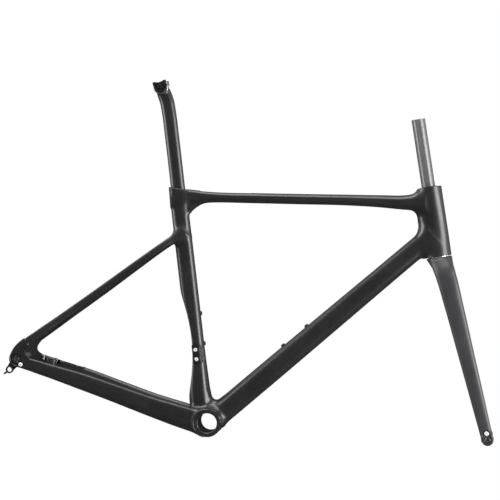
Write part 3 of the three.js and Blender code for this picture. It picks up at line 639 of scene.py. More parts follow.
def turned(profile: Profile, place: Array, direction: Array, sides: int = 64) -> Raw:
    """A turned piece: its profile's points of (radius, height) spun about a direction.

    Args:
        profile: the points in order, either from axis to axis or closed on itself.
        place: the point of height zero.
        direction: which way height runs.
        sides: how many steps the round takes.

    Returns:
        The closed mesh.
    """
    closed = profile[0] == profile[-1]
    points = list(profile[:-1] if closed else profile)
    turn = np.linspace(0, 2 * math.pi, sides, endpoint=False)
    vertices: list[Array] = []
    rings: list[list[int]] = []
    for radius, height in points:
        if radius <= 1e-6:
            rings.append([len(vertices)] * sides)
            vertices.append(np.array((0, 0, height)))
        else:
            rings.append(list(range(len(vertices), len(vertices) + sides)))
            vertices += [np.array((radius * math.cos(a), radius * math.sin(a), height)) for a in turn]
    faces = []
    pairs = list(zip(rings, rings[1:], strict=False)) + ([(rings[-1], rings[0])] if closed else [])
    for low, high in pairs:
        for i in range(sides):
            j = (i + 1) % sides
            corners = [low[i], low[j], high[j], high[i]]
            corners = [one for n, one in enumerate(corners) if one not in corners[:n]]
            if len(corners) > 2:
                faces.append(corners)
    raw = Raw(np.array(vertices), faces)
    return outward(raw.placed(direction_matrix(direction), place))


def outward(raw: Raw) -> Raw:
    """The same closed mesh with its faces looking outwards."""
    volume = 0.0
    for one in raw.faces:
        first = raw.vertices[one[0]]
        for second, third in zip(one[1:], one[2:], strict=False):
            volume += float(np.dot(first, np.cross(raw.vertices[second], raw.vertices[third])))
    return raw if volume > 0 else Raw(raw.vertices, [list(one)[::-1] for one in raw.faces])


def prism(outline: Array, from_y: float, to_y: float) -> Raw:
    """An outline of the side view, (x, z), as a plate between two sideways places."""
    count = len(outline)
    near = np.stack((outline[:, 0], np.full(count, from_y), outline[:, 1]), axis=1)
    far = np.stack((outline[:, 0], np.full(count, to_y), outline[:, 1]), axis=1)
    sides = [[i, (i + 1) % count, count + (i + 1) % count, count + i] for i in range(count)]
    lids = [list(range(count))[::-1], list(range(count, 2 * count))]
    return outward(Raw(np.concatenate((near, far)), [*lids, *sides]))


def brick(centre: Array, size: tuple[float, float, float], tilt: float = 0.0) -> Raw:
    """A box about its centre, tipped in the side view by `tilt` degrees, nose up."""
    turn = math.radians(tilt)
    run = np.array((math.cos(turn), 0, math.sin(turn)))
    up = np.array((-math.sin(turn), 0, math.cos(turn)))
    edges = np.array(size)[:, None] / 2 * np.stack((run, LEFT, up))
    corners = [(i, j, k) for i in (-1, 1) for j in (-1, 1) for k in (-1, 1)]
    faces = [[0, 1, 3, 2], [4, 6, 7, 5], [0, 4, 5, 1], [2, 3, 7, 6], [0, 2, 6, 4], [1, 5, 7, 3]]
    return outward(Raw(centre + np.array(corners) @ edges, faces))


def tube_skin(rings: Sequence[Array]) -> Raw:
    """A closed tube through rings of equal numbers of points."""
    sides = len(rings[0])
    faces: list[Sequence[int]] = []
    for n in range(len(rings) - 1):
        for i in range(sides):
            j = (i + 1) % sides
            faces.append([n * sides + i, n * sides + j, (n + 1) * sides + j, (n + 1) * sides + i])
    last = (len(rings) - 1) * sides
    faces += [list(range(sides))[::-1], [last + i for i in range(sides)]]
    return outward(Raw(np.concatenate(rings), faces))


def arc(centre: Sequence[float], radius: float, start: float, end: float, steps: int = 24) -> list[Array]:
    """Points of an arc in the side view, between two angles in degrees."""
    turns = np.radians(np.linspace(start, end, steps + 1))
    return [np.array(centre) + radius * np.array((math.cos(turn), math.sin(turn))) for turn in turns]


def bend(
    start: Sequence[float], handle: Sequence[float], end: Sequence[float], steps: int = 10
) -> list[Array]:
    """Points of a curve from start to end, pulled towards a handle."""
    shares = np.linspace(0, 1, steps + 1)
    a, b, c = np.array(start), np.array(handle), np.array(end)
    return [(1 - s) ** 2 * a + 2 * s * (1 - s) * b + s * s * c for s in shares]


def outline_of(points: Iterable[Sequence[float]], centre: Array = ORIGIN) -> Array:
    """An outline moved to a centre, without points that repeat."""
    same = 0.02
    kept: list[Array] = []
    for point in points:
        if not kept or np.linalg.norm(point - kept[-1]) > same:
            kept.append(np.asarray(point, float))
    if np.linalg.norm(kept[0] - kept[-1]) < same:
        kept.pop()
    return np.array(kept) + np.array((centre[0], centre[2]))


def apply_modifiers(made: bpy.types.Object) -> None:
    """Replaces an object's mesh by its result with modifiers applied."""
    result = bpy.data.meshes.new_from_object(made.evaluated_get(bpy.context.evaluated_depsgraph_get()))
    made.modifiers.clear()
    old = made.data
    made.data = result
    result.name = made.name
    bpy.data.meshes.remove(old)


def combine(made: bpy.types.Object, raw: Raw, operation: str) -> None:
    """Joins a closed mesh to an object, or cuts it away, with crisp edges."""
    tool = raw.object("tool")
    work = made.modifiers.new("combine", "BOOLEAN")
    work.operation = operation
    work.solver = "MANIFOLD"
    work.object = tool
    apply_modifiers(made)
    bpy.data.objects.remove(tool)


def carve(made: bpy.types.Object, cutters: Iterable[Raw]) -> None:
    """Takes each cutter away from an object."""
    for number, cutter in enumerate(cutters):
        before = len(made.data.polygons)
        combine(made, cutter, "DIFFERENCE")
        left = len(made.data.polygons)
        if left < before / 2:
            log.warning("%s: cutter %d left only %d faces", made.name, number, left)


def soften(made: bpy.types.Object, width: float, segments: int = 2, angle: float = 35.0) -> None:
    """Rounds an object's sharp edges by a width in millimetres."""
    round_off = made.modifiers.new("edges", "BEVEL")
    round_off.width = width * MM
    round_off.segments = segments
    round_off.limit_method = "ANGLE"
    round_off.angle_limit = math.radians(angle)
    round_off.harden_normals = False
    apply_modifiers(made)


def smooth(made: bpy.types.Object, angle: float = 32.0) -> None:
    """Shades an object smoothly, apart from edges sharper than an angle."""
    mesh = made.data
    mesh.polygons.foreach_set("use_smooth", np.ones(len(mesh.polygons), bool))
    work = bmesh.new()
    work.from_mesh(mesh)
    limit = math.radians(angle)
    for edge in work.edges:
        edge.smooth = not (edge.is_manifold and edge.calc_face_angle(0.0) > limit)
    work.to_mesh(mesh)
    work.free()


# ---------------------------------------------------------------------------------------------
# Finishes
# ---------------------------------------------------------------------------------------------
class Slot(Enum):
    """The record's material slots."""

    SATIN_CARBON = "satin_carbon"
    MATTE_CARBON = "matte_carbon"
    SANDED_CARBON = "sanded_carbon"
    BLACK_ALLOY = "black_alloy"
    BARE_ALLOY = "bare_alloy"
    STEEL = "steel"
    RUBBER = "rubber"


class Tree:
    """A node tree, with short ways to add to it."""

    def __init__(self, tree: bpy.types.NodeTree) -> None:
        """Takes the tree."""
        self.tree = tree

    def add(self, kind: str, **values: object) -> bpy.types.Node:
        """Adds a node. Values set its properties, or its inputs where their name starts with in_."""
        node = self.tree.nodes.new(kind)
        for key, value in values.items():
            if key.startswith("in_"):
                name = key[3:].replace("_", " ").title()
                node.inputs[name if name in node.inputs else int(key[3:])].default_value = value
            else:
                setattr(node, key, value)
        return node

    def link(self, output: Socket, target: Socket) -> None:
        """Joins an output to an input."""
        self.tree.links.new(output, target)

    def stretched(self, source: Socket, scale: tuple[float, float, float]) -> Socket:
        """Coordinates scaled along each axis."""
        mapping = self.add("ShaderNodeMapping", in_scale=scale)
        self.link(source, mapping.inputs["Vector"])
        return mapping.outputs["Vector"]

    def noise(self, source: Socket, scale: float, detail: float = 3.0, rough: float = 0.5) -> Socket:
        """Noise from 0 to 1 at coordinates."""
        noise = self.add("ShaderNodeTexNoise", in_scale=scale, in_detail=detail, in_roughness=rough)
        self.link(source, noise.inputs["Vector"])
        return noise.outputs["Fac"]

    def mixed(self, one: Socket, other: Socket, share: float) -> Socket:
        """Two values mixed, with `share` of the first."""
        faded = self.add("ShaderNodeMath", operation="MULTIPLY", in_1=1 - share)
        self.link(other, faded.inputs[0])
        total = self.add("ShaderNodeMath", operation="MULTIPLY_ADD", in_1=share)
        self.link(one, total.inputs[0])
        self.link(faded.outputs[0], total.inputs[2])
        return total.outputs[0]

    def spread(
        self, source: Socket, low: float, high: float, start: float = 0.3, end: float = 0.7
    ) -> Socket:
        """A value's range from start to end, spread from low to high."""
        ends = {"in_from_min": start, "in_from_max": end, "in_to_min": low, "in_to_max": high}
        work = self.add("ShaderNodeMapRange", **ends)
        self.link(source, work.inputs["Value"])
        return work.outputs["Result"]

    def ramp(self, source: Socket, stops: Sequence[tuple[float, Colour]]) -> Socket:
        """A colour for each value, through stops of (value, colour)."""
        work = self.add("ShaderNodeValToRGB")
        elements = work.color_ramp.elements
        while len(elements) < len(stops):
            elements.new(0.5)
        for element, (place, colour) in zip(elements, stops, strict=True):
            element.position = place
            element.color = (*colour, 1.0)
        self.link(source, work.inputs["Fac"])
        return work.outputs["Color"]

    def bump(self, source: Socket, depth: float, strength: float, below: Socket | None = None) -> Socket:
        """A surface's fine relief, with a depth in metres."""
        work = self.add("ShaderNodeBump", in_strength=strength, in_distance=depth)
        self.link(source, work.inputs["Height"])
        if below is not None:
            self.link(below, work.inputs["Normal"])
        return work.outputs["Normal"]


class Nodes(Tree):
    """A material's node tree and its shader."""

    def __init__(self, name: str) -> None:
        """Starts a material of this name with an empty tree but for its shader."""
        self.material = bpy.data.materials.new(name)
        self.material.use_nodes = True
        super().__init__(self.material.node_tree)
        self.shader = self.tree.nodes["Principled BSDF"]

    def place(self) -> Socket:
        """The object's own coordinates, in metres."""
        return self.add("ShaderNodeTexCoord").outputs["Object"]

    def feed(self, name: str, source: Socket) -> None:
        """Joins a value that varies to one of the shader's inputs."""
        self.link(source, self.shader.inputs[name])

    def fix(self, name: str, value: object) -> None:
        """Sets one of the shader's inputs to a value that is the same all over."""
        self.shader.inputs[name].default_value = value


def grey(value: float, warmth: float = 0.0) -> Colour:
    """A grey, a little warm or cool."""
    return (value, value * 0.985, value * (1 - 2 * warmth))


@dataclass(frozen=True)
class CarbonFinish:
    """Moulded carbon under a satin or matte coat. Its fibres show faintly along each tube."""

    name: str
    dark: float
    light: float
    smooth_roughness: float
    rough_roughness: float
    fleck: float
    coat: float = 0.0
    fibre_scale: tuple[float, float, float] = (6, 900, 900)
    fibre_share: float = 0.65
    fibre_roughness: float = 0.02
    wave_depth: float = 0.00012

    def build(self) -> bpy.types.Material:
        """The material. It reads the fibre direction from the mesh's grain, in metres."""
        nodes = Nodes(self.name)
        grain = nodes.add("ShaderNodeAttribute", attribute_name="grain").outputs["Vector"]
        place = nodes.place()
        fibres = nodes.noise(nodes.stretched(grain, self.fibre_scale), 1.0)
        cloud = nodes.noise(place, 14.0, 4.0)
        fleck = nodes.noise(place, 2600.0, 2.0)
        stops = ((0.36, grey(self.dark, -0.04)), (0.66, grey(self.light, -0.03)))
        nodes.feed("Base Color", nodes.ramp(nodes.mixed(fibres, cloud, self.fibre_share), stops))
        total = nodes.add("ShaderNodeMath", operation="ADD")
        nodes.link(nodes.spread(cloud, self.smooth_roughness, self.rough_roughness), total.inputs[0])
        nodes.link(nodes.spread(fibres, -self.fibre_roughness, self.fibre_roughness), total.inputs[1])
        nodes.feed("Roughness", total.outputs[0])
        waves = nodes.bump(nodes.noise(place, 55.0, 2.0), self.wave_depth, 0.25)
        nodes.feed("Normal", nodes.bump(fleck, self.fleck, 0.35, waves))
        nodes.fix("Coat Weight", self.coat)
        nodes.fix("Coat Roughness", 0.22)
        return nodes.material


@dataclass(frozen=True)
class SandedFinish:
    """Carbon sanded to size along its length, with the wound plies showing as light and dark streaks."""

    name: str = "sanded_carbon"
    line: SideLine = LAYOUT.head
    streak_scale: tuple[float, float, float] = (260, 260, 5)
    scratch_scale: tuple[float, float, float] = (1500, 1500, 40)
    ring_scale: tuple[float, float, float] = (30, 30, 900)
    streak_share: float = 0.62

    def build(self) -> bpy.types.Material:
        """The material, its streaks along the tube's axis."""
        nodes = Nodes(self.name)
        lean = math.radians(self.line.angle - 90)
        turn = nodes.add("ShaderNodeMapping", in_rotation=(0, lean, 0))
        nodes.link(nodes.place(), turn.inputs["Vector"])
        along = turn.outputs["Vector"]
        streaks = nodes.noise(nodes.stretched(along, self.streak_scale), 1.0, 4.0, 0.6)
        scratches = nodes.noise(nodes.stretched(along, self.scratch_scale), 1.0, 3.0, 0.6)
        rings = nodes.noise(nodes.stretched(along, self.ring_scale), 1.0, 2.0)
        stops = ((0.34, grey(0.035)), (0.52, grey(0.065)), (0.68, grey(0.12)))
        nodes.feed("Base Color", nodes.ramp(nodes.mixed(streaks, scratches, self.streak_share), stops))
        nodes.feed("Roughness", nodes.spread(scratches, 0.26, 0.42))
        nodes.fix("Specular IOR Level", 0.9)
        first = nodes.bump(scratches, 0.00006, 0.5)
        nodes.feed("Normal", nodes.bump(rings, 0.00004, 0.35, first))
        return nodes.material


@dataclass(frozen=True)
class MetalFinish:
    """A machined or bead-blasted metal, bare or anodised."""

    name: str
    dark: float
    light: float
    roughness: float
    metallic: float
    grit: float

    def build(self) -> bpy.types.Material:
        """The material, with fine grit and handling marks."""
        nodes = Nodes(self.name)
        place = nodes.place()
        marks = nodes.noise(place, 180.0, 5.0, 0.6)
        grit = nodes.noise(place, 5200.0, 2.0)
        stops = ((0.3, grey(self.dark, -0.01)), (0.7, grey(self.light, 0.01)))
        nodes.feed("Base Color", nodes.ramp(marks, stops))
        nodes.feed("Roughness", nodes.spread(marks, self.roughness - 0.06, self.roughness + 0.08))
        nodes.feed("Normal", nodes.bump(grit, self.grit, 0.4))
        nodes.fix("Metallic", self.metallic)
        return nodes.material


@dataclass(frozen=True)
class RubberFinish:
    """Soft black rubber or nylon with a fine moulded grain."""

    name: str = "rubber"

    def build(self) -> bpy.types.Material:
        """The material."""
        nodes = Nodes(self.name)
        place = nodes.place()
        grain = nodes.noise(place, 1800.0)
        cloud = nodes.noise(place, 90.0)
        nodes.feed("Base Color", nodes.ramp(cloud, ((0.3, grey(0.008)), (0.7, grey(0.016)))))
        nodes.feed("Roughness", nodes.spread(grain, 0.62, 0.82))
        nodes.feed("Normal", nodes.bump(grain, 0.00008, 0.5))
        return nodes.material


class Workshop:
    """Holds the finishes and turns meshes into dressed pieces that ride on their bodies."""

    def __init__(self) -> None:
        """Mixes each finish once."""
        finishes = (
            CarbonFinish("satin_carbon", 0.0085, 0.0125, 0.29, 0.37, 0.000010, 0.12),
            # The fork's matte coat is real, but its base tone is set lighter than the frame's to stand for
            # the fork being lit more brightly: partly painted light.
            CarbonFinish("matte_carbon", 0.020, 0.028, 0.38, 0.48, 0.00003),
            SandedFinish(),
            MetalFinish("black_alloy", 0.016, 0.026, 0.4, 0.7, 0.00002),
            MetalFinish("bare_alloy", 0.34, 0.46, 0.36, 1.0, 0.00002),
            MetalFinish("steel", 0.84, 0.94, 0.36, 0.6, 0.00001),
            RubberFinish(),
        )
        self.finishes = {Slot(finish.name): finish.build() for finish in finishes}

    def dress(self, made: bpy.types.Object, slot: Slot) -> None:
        """Gives an object one finish all over."""
        made.data.materials.clear()
        made.data.materials.append(self.finishes[slot])

    def mount(self, made: bpy.types.Object, slot: Slot, body: str, nodes: Sequence[str] = ()) -> None:
        """Finishes a piece and sets it on its body.

        Args:
            made: the piece.
            slot: its finish.
            body: the body that it moves with.
            nodes: the frame's nodes that it stands for.
        """
        self.dress(made, slot)
        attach(made, body)
        if nodes:
            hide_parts(*nodes)
        log.info("%s: %d faces, on %s", made.name, len(made.data.polygons), body)

    def small(
        self,
        name: str,
        raw: Raw,
        slot: Slot,
        body: str,
        node: str = "",
        cutters: Sequence[Raw] = (),
        edge: float = 0.0,
    ) -> None:
        """Makes a small machined or moulded piece and mounts it.

        Args:
            name: the piece's name.
            raw: its mesh before cutting.
            slot: its finish.
            body: the body that it moves with.
            node: the frame's node that it stands for, or nothing.
            cutters: what is cut out of it.
            edge: how far its edges are rounded.
        """
        made = raw.object(name)
        carve(made, cutters)
        if edge > 0:
            soften(made, edge)
        smooth(made)
        self.mount(made, slot, body, [node] if node else [])


# ---------------------------------------------------------------------------------------------
# Shapes shared by sub-assemblies
# ---------------------------------------------------------------------------------------------
def moulded(name: str, moulding: Moulding, cutters: Sequence[Raw]) -> bpy.types.Object:
    """Turns a moulding into an object with its fibre grain, cut to size."""
    vertices, faces = moulding.skin()
    made = Raw(vertices, faces).object(name)
    grain = made.data.attributes.new("grain", "FLOAT_VECTOR", "POINT")
    grain.data.foreach_set("vector", (moulding.grain(vertices) * MM).astype(np.float32).ravel())
    carve(made, cutters)
    smooth(made)
    return made


def along_y(centre: Array, profile: Profile, sides: int = 64) -> Raw:
    """A turned piece about a cross axis, its heights being sideways places."""
    return turned(profile, np.array((centre[0], 0.0, centre[2])), LEFT, sides)


def drill(centre: Array, radius: float, from_y: float, to_y: float, sides: int = 64) -> Raw:
    """A round cutter along Y, between two sideways places."""
    return along_y(centre, ((0, from_y), (radius, from_y), (radius, to_y), (0, to_y)), sides)


def stations_on(line: SideLine, rows: Rows, *square: float) -> list[Station]:
    """Stations beside a line, from rows of (along, side, half depth, half width, squareness).

    Args:
        line: the line.
        rows: the rows, without the squareness where it is given once for all.
        square: the squareness of all of them.

    Returns:
        The stations in order.
    """
    return [Station(line.at(along, side), *sizes, *square) for along, side, *sizes in rows]


def pad(
    centre: Array, run: Array, up: Array, half: tuple[float, float], reach: tuple[float, float]
) -> Slab:
    """A brake's thickened seat.

    Args:
        centre: the middle of the seat.
        run: the way that the seat runs.
        up: the way that it faces.
        half: its half length and half width.
        reach: where it starts and ends along `up`.

    Returns:
        The seat, with rounded rims.
    """
    high, low = reach
    length, width = half
    corners = ((-length, high), (length, high), (length, low), (-length, low))
    outline = np.array([(centre + along * run + out * up)[[0, 2]] for along, out in corners])
    return Slab(outline, centre[1] - width, centre[1] + width, 2.5)


def hexagon(centre: Array, across: float, from_y: float, to_y: float) -> Raw:
    """A hexagonal cutter along Y for a tool socket, `across` its flats."""
    radius = across / math.sqrt(3)
    return prism(outline_of(arc((0, 0), radius, 0, 300, 5), centre), from_y, to_y)


def bottle_places() -> list[tuple[str, Array, Array]]:
    """Each bottle bolt's node, its place on the tube's face, and the way that face looks."""
    down, seat = LAYOUT.down, LAYOUT.seat
    on_down, on_seat = 204, 163
    return [
        ("bottle_bolt_down_lower", down.at(on_down, -23.9), -down.ahead),
        ("bottle_bolt_down_upper", down.at(on_down + BOTTLE_SPACING, -23.5), -down.ahead),
        ("bottle_bolt_seat_lower", seat.at(on_seat, 16.9), seat.ahead),
        ("bottle_bolt_seat_upper", seat.at(on_seat + BOTTLE_SPACING, 16.9), seat.ahead),
    ]


def hanger_outline(grow: float = 0.0) -> Array:
    """The derailleur hanger's side view: a round seat, an arm and the eye at its end."""
    below = (HANGER_EYE[0] + 7, HANGER_EYE[1] - 3.3)
    points = [
        *arc((0, 0), 12 + grow, -30, 200, 40),
        *arc(HANGER_EYE, HANGER_EYE_RADIUS + grow, 170, 335, 28),
        *bend(below, (grow, -18 - grow), (7 + grow, -14 - grow)),
    ]
    return outline_of(points, LAYOUT.rear_axle)


def dropout_outline() -> Array:
    """The dropout's side view about the axle: a round lobe with an arm to each stay."""
    points = [
        (27.0, -18.3),
        (27.0, 7.2),
        *bend((27, 7.2), (15, 11), (15, 19)),
        *bend((15, 19), (15, 24.6), (20.1, 33)),
        *bend((9, 46.3), (-14.2, 25.2), (-15.5, 0)),
        *arc((0, 0), 15.5, 180, 270),
    ]
    return outline_of(points, LAYOUT.rear_axle)


# ---------------------------------------------------------------------------------------------
# The frame
# ---------------------------------------------------------------------------------------------
STAY_TILT = 7.2
BRAKE_SEAT = np.array((-322.0, 64.6, 65.4))
STAY_LINE = SideLine(BRAKE_SEAT[0], BRAKE_SEAT[2], 180 - STAY_TILT)
STAY_UP = STAY_LINE.ahead
STAY_BACK = STAY_LINE.up
WINDOWS = (np.array((-380.0, 63.5, 69.0)), np.array((-347.0, 58.0, 66.0)))


@dataclass
class FrameShell:
    """The moulded frame: head tube, main tubes, bottom bracket shell, stays and dropouts in one skin."""

    voxel: float = 2.0
    bracket_radius: float = 29.6
    bracket_half: float = 43.25
    bore_radius: float = 20.5
    cutout_radius: float = 364.5
    left_rounder: float = 1.1
    fine_sides: int = 96
    window: tuple[float, float, float] = (12.0, 14.0, 11.5)

    def head_tube(self) -> Loft:
        """The head tube, a little longer than it ends up."""
        rows = (
            (-10, -1.3, 27.7, 27.6, 2.1),
            (0, -1.5, 28, 27, 2.1),
            (45, -2.6, 29.6, 23.5, 2.2),
            (100, -2.4, 29.4, 22.5, 2.2),
            (147, 2.5, 24.6, 24.5, 2.1),
            (157, 3.2, 24, 24.7, 2.1),
        )
        return Loft(stations_on(LAYOUT.head, rows), LAYOUT.head)

    def down_tube(self) -> Loft:
        """The down tube."""
        rows = (
            (0, 0, 24.3, 29),
            (150, 0, 24.1, 26),
            (330, 0, 23, 24),
            (500, 0, 21.9, 22.5),
            (588, 0, 21.6, 19.5),
        )
        return Loft(stations_on(LAYOUT.down, rows, 2.9))

    def top_tube(self) -> Loft:
        """The top tube."""
        rows = (
            (-12, -2, 20, 13),
            (20, -1.5, 15.5, 14),
            (44, -0.6, 13.0, 15.5),
            (75, 0, 11.2, 17),
            (150, 0.2, 10.8, 18),
            (255, 0.2, 11, 19),
            (350, 0, 11.4, 20.5),
            (420, 1, 12.8, 21.5),
            (482, 2.4, 15.8, 21),
            (512, 0, 19, 19),
        )
        return Loft(stations_on(LAYOUT.top, rows, 3.1))

    def seat_tube(self) -> Shape:
        """The seat tube with the rear wheel's cut-out."""
        rows = (
            (0, -4, 23, 28),
            (70, -4, 22.5, 26),
            (135, -1.2, 18.6, 21),
            (230, -1, 18.4, 17.8),
            (400, -1, 18.4, 16.4),
            (515, -1.2, 17.6, 15.2),
        )
        wheel = Barrel(LAYOUT.rear_axle, self.cutout_radius, -70, 70, 0.0)
        return Trimmed(Loft(stations_on(LAYOUT.seat, rows, 2.8)), [wheel], 4.0)

    def web(self) -> Slab:
        """The web in the corner under the top tube's root."""
        points = [(-22, 8), (30, 12), (46, 6), *bend((46, 4), (8, -6), (-7.5, -48)), (-22, -48)]
        return Slab(outline_of(points, LAYOUT.top.at(26, 6)), -11, 11, 5.0)

    def bracket_web(self) -> Slab:
        """The web in the corner between the seat tube and the down tube."""
        on_seat, on_down = 62, 38
        inner, start, end, outer = (
            line.at(along, side)[[0, 2]]
            for line, along, side in (
                (LAYOUT.seat, on_seat, 2.0),
                (LAYOUT.seat, on_seat, 16.8),
                (LAYOUT.down, on_down, -22.4),
                (LAYOUT.down, on_down, -4.0),
            )
        )
        points = [inner, *bend(start, (1.6, 34.0), end), outer, (0.0, 12.0)]
        return Slab(outline_of(points), -20, 20, 9.0)

    def above_top(self) -> Slab:
        """The space above the frame's top edge, from behind the seat tube to the top tube's middle."""
        edge = (
            (-230, 473.4),
            (-165, 475.3),
            (-119, 476.8),
            (-93, 478.2),
            (-68, 480.9),
            (-30, 485.9),
            (8, 491.4),
        )
        high = 560
        return Slab(outline_of((*edge, (edge[-1][0], high), (edge[0][0], high))), -80, 80, 0.0)

    def chainstay(self, side: Side) -> Loft:
        """One chainstay, from the bottom bracket to its dropout."""
        rows = (
            (-6, 30.5, -4, 24, 9, 3.2),
            (-50, 34, 2.7, 23.8, 9.5, 3.2),
            (-126, 40, 14.8, 20.8, 9, 3.2),
            (-205, 49, 30.2, 18.8, 8.5, 3.2),
            (-283, 59.5, 44.8, 17.2, 8, 3.2),
            (-335, 67, 53.1, 14.8, 7, 3.2),
            (-392, 75.2, 61.8, 12.4, 4.6, 3),
            (-406, 75.5, 63.9, 11.0, 3.2, 3),
        )
        return self._stay(rows, side)

    def seatstay(self, side: Side) -> Loft:
        """One seatstay, from the seat tube to its dropout."""
        rows = (
            (-118, 11, 386, 9, 6.5, 2.5),
            (-152, 21.5, 354, 7.6, 7.2, 3.1),
            (-210, 30, 296, 7.7, 7.4, 3.1),
            (-264, 38, 241, 7.9, 7.2, 3.1),
            (-337, 54, 168.5, 7.6, 6.6, 3.1),
            (-382, 70, 124, 7.7, 5, 3.1),
            (-400, 75, 106, 7.6, 4.5, 3.1),
            (-411, 75.5, 92, 6.8, 3.2, 3.1),
        )
        return self._stay(rows, side)

    def _stay(self, rows: Rows, side: Side) -> Loft:
        """A stay through stations of (x, |y|, z, half depth, half width, squareness)."""
        rounder = self.left_rounder if side is Side.LEFT else 0.0
        stations = [
            Station(np.array((x, y * side.value, z)), depth, width, square - rounder)
            for x, y, z, depth, width, square in rows
        ]
        return Loft(stations)

    def brake_pad(self) -> Slab:
        """The thickened seat for the rear brake on the left chainstay."""
        return pad(BRAKE_SEAT, -STAY_BACK, STAY_UP, (31.0, 9.5), (1.5, -14.0))

    def moulding(self) -> Moulding:
        """All members of the frame, blended."""
        body = Moulding(self.voxel)
        body.add(self.head_tube())
        body.add(self.down_tube(), 16)
        body.add(self.top_tube(), 18)
        body.add(self.seat_tube(), 14)
        body.add(self.web(), 4)
        body.add(self.bracket_web(), 5)
        body.add(Barrel(ORIGIN, self.bracket_radius, -self.bracket_half, self.bracket_half, 1.2), 15)
        for side in Side:
            body.add(self.chainstay(side), 12)
            body.add(self.seatstay(side), 14)
            inner, outer = REAR_HUB_HALF * side.value, REAR_FACE * side.value
            body.add(Slab(dropout_outline(), inner, outer, 1.6), 3)
        body.add(self.brake_pad(), 6)
        body.cut(self.above_top(), 2.5)
        for side in Side:
            hub = Barrel(LAYOUT.rear_axle, 40, 40 * side.value, REAR_HUB_HALF * side.value, 0.0)
            body.cut(hub, 1.0)
        return body

    def bracket_cutters(self) -> list[Raw]:
        """The bottom bracket's bore with its chamfers, then a facing cut at each end of the shell."""
        end, bore = self.bracket_half, self.bore_radius
        chamfer, over = 1.3, 3.0
        wide = bore + chamfer + over
        half = ((0, end + over), (wide, end + over), (bore, end - chamfer))
        profile = [*((radius, -height) for radius, height in half), *half[::-1]]
        facing = ((0, end), (28.2, end), (29.4, end + 1.2), (29.4, 62), (0, 62))
        profiles = [profile, *(side.of(facing) for side in Side)]
        return [along_y(ORIGIN, one, self.fine_sides) for one in profiles]

    def head_cutters(self) -> list[Raw]:
        """The head tube's bore with its bearing seats, and the cuts that trim both of its ends."""
        top = LAYOUT.head_length
        profile = (
            (0, -40),
            (37, -40),
            (37, 0),
            (24.4, 0),
            (23.8, 0.8),
            (23.8, 9.5),
            (17.4, 12.5),
            (17.4, 135.5),
            (20.3, 138.5),
            (20.3, top - 0.8),
            (21.1, top),
            (24.9, top),
            (26.6, top - 1.2),
            (60, top - 1.2),
            (60, 180),
            (0, 180),
        )
        return [turned(profile, LAYOUT.head.at(0), LAYOUT.head.up, self.fine_sides)]

    def seat_cutters(self) -> list[Raw]:
        """The post's pocket, the derailleur plate's seats, the bottle bolts' holes and the cover's slot."""
        post, seat = LAYOUT.post, LAYOUT.seat
        rows = [(along, 0, 15, 11.5) for along in (-235, -120, 0, 40)]
        made = [tube_skin(Loft(stations_on(post, rows, 2.3), post, 0.45).rings(72))]
        tilt = 90 - LAYOUT.seat_angle
        made.append(brick(seat.at(DERAILLEUR_ALONG, -0.5, -27), (14.8, 20, 40.8), tilt))
        made.append(brick(seat.at(DERAILLEUR_ALONG, 11.6, -24), (9.8, 20, 36.8), tilt))
        hole = ((0, -11), (3.3, -11), (3.3, -0.3), (5.5, -0.3), (5.5, 5), (0, 5))
        made += [turned(hole, place, face, 40) for _, place, face in bottle_places()]
        made.append(brick(np.array((-112.0, 0.0, LAYOUT.top_height + 5.0)), (27.8, 11.8, 12), 3))
        return made

    def dropout_cutters(self) -> list[Raw]:
        """The axle's holes with their recesses, and the derailleur hanger's seat with its screw hole."""
        made = []
        face, floor = REAR_FACE, REAR_FACE - 3
        for side in Side:
            bore = 8.8 if side is Side.RIGHT else 6.4
            recess = ((11.3, floor), (11.3, face - 1.9), (16.2, face + 3), (0, face + 3))
            made.append(along_y(LAYOUT.rear_axle, side.of(((0, 60), (bore, 60), (bore, floor), *recess))))
        made.append(prism(hanger_outline(0.35), -69, -74.6))
        made.append(drill(HANGER_SCREW, 2.4, -60, -90, 32))
        return made

    def brake_cutters(self) -> list[Raw]:
        """The rear brake's flat, the holes for its inserts, and the windows behind it."""
        made = [brick(BRAKE_SEAT + 10 * STAY_UP, (64, 34, 20), -STAY_TILT)]
        for share in HALVES:
            place = BRAKE_SEAT + share * BRAKE_PITCH * STAY_BACK
            made.append(turned(INSERT_POCKET, place, STAY_UP, 40))
        return made + [brick(centre, self.window, -STAY_TILT) for centre in WINDOWS]

    def cutters(self) -> list[Raw]:
        """Everything that is machined or moulded into the frame with crisp edges."""
        bore, *facings = self.bracket_cutters()
        pocket, *small = self.seat_cutters()
        made = [bore, *self.head_cutters(), pocket, *facings, *small]
        return made + self.dropout_cutters() + self.brake_cutters()

    def build(self, shop: Workshop) -> None:
        """Makes the frame's skin and mounts it in place of the frame's tubes."""
        made = moulded("frame_shell", self.moulding(), self.cutters())
        tubes = ["head_tube", "bottom_bracket_shell", "down_tube", "seat_tube", "top_tube"]
        stays = [f"{part}_{side.word}" for part in ("dropout", "chainstay", "seatstay") for side in Side]
        shop.mount(made, Slot.SATIN_CARBON, "frame", [*tubes, *stays])


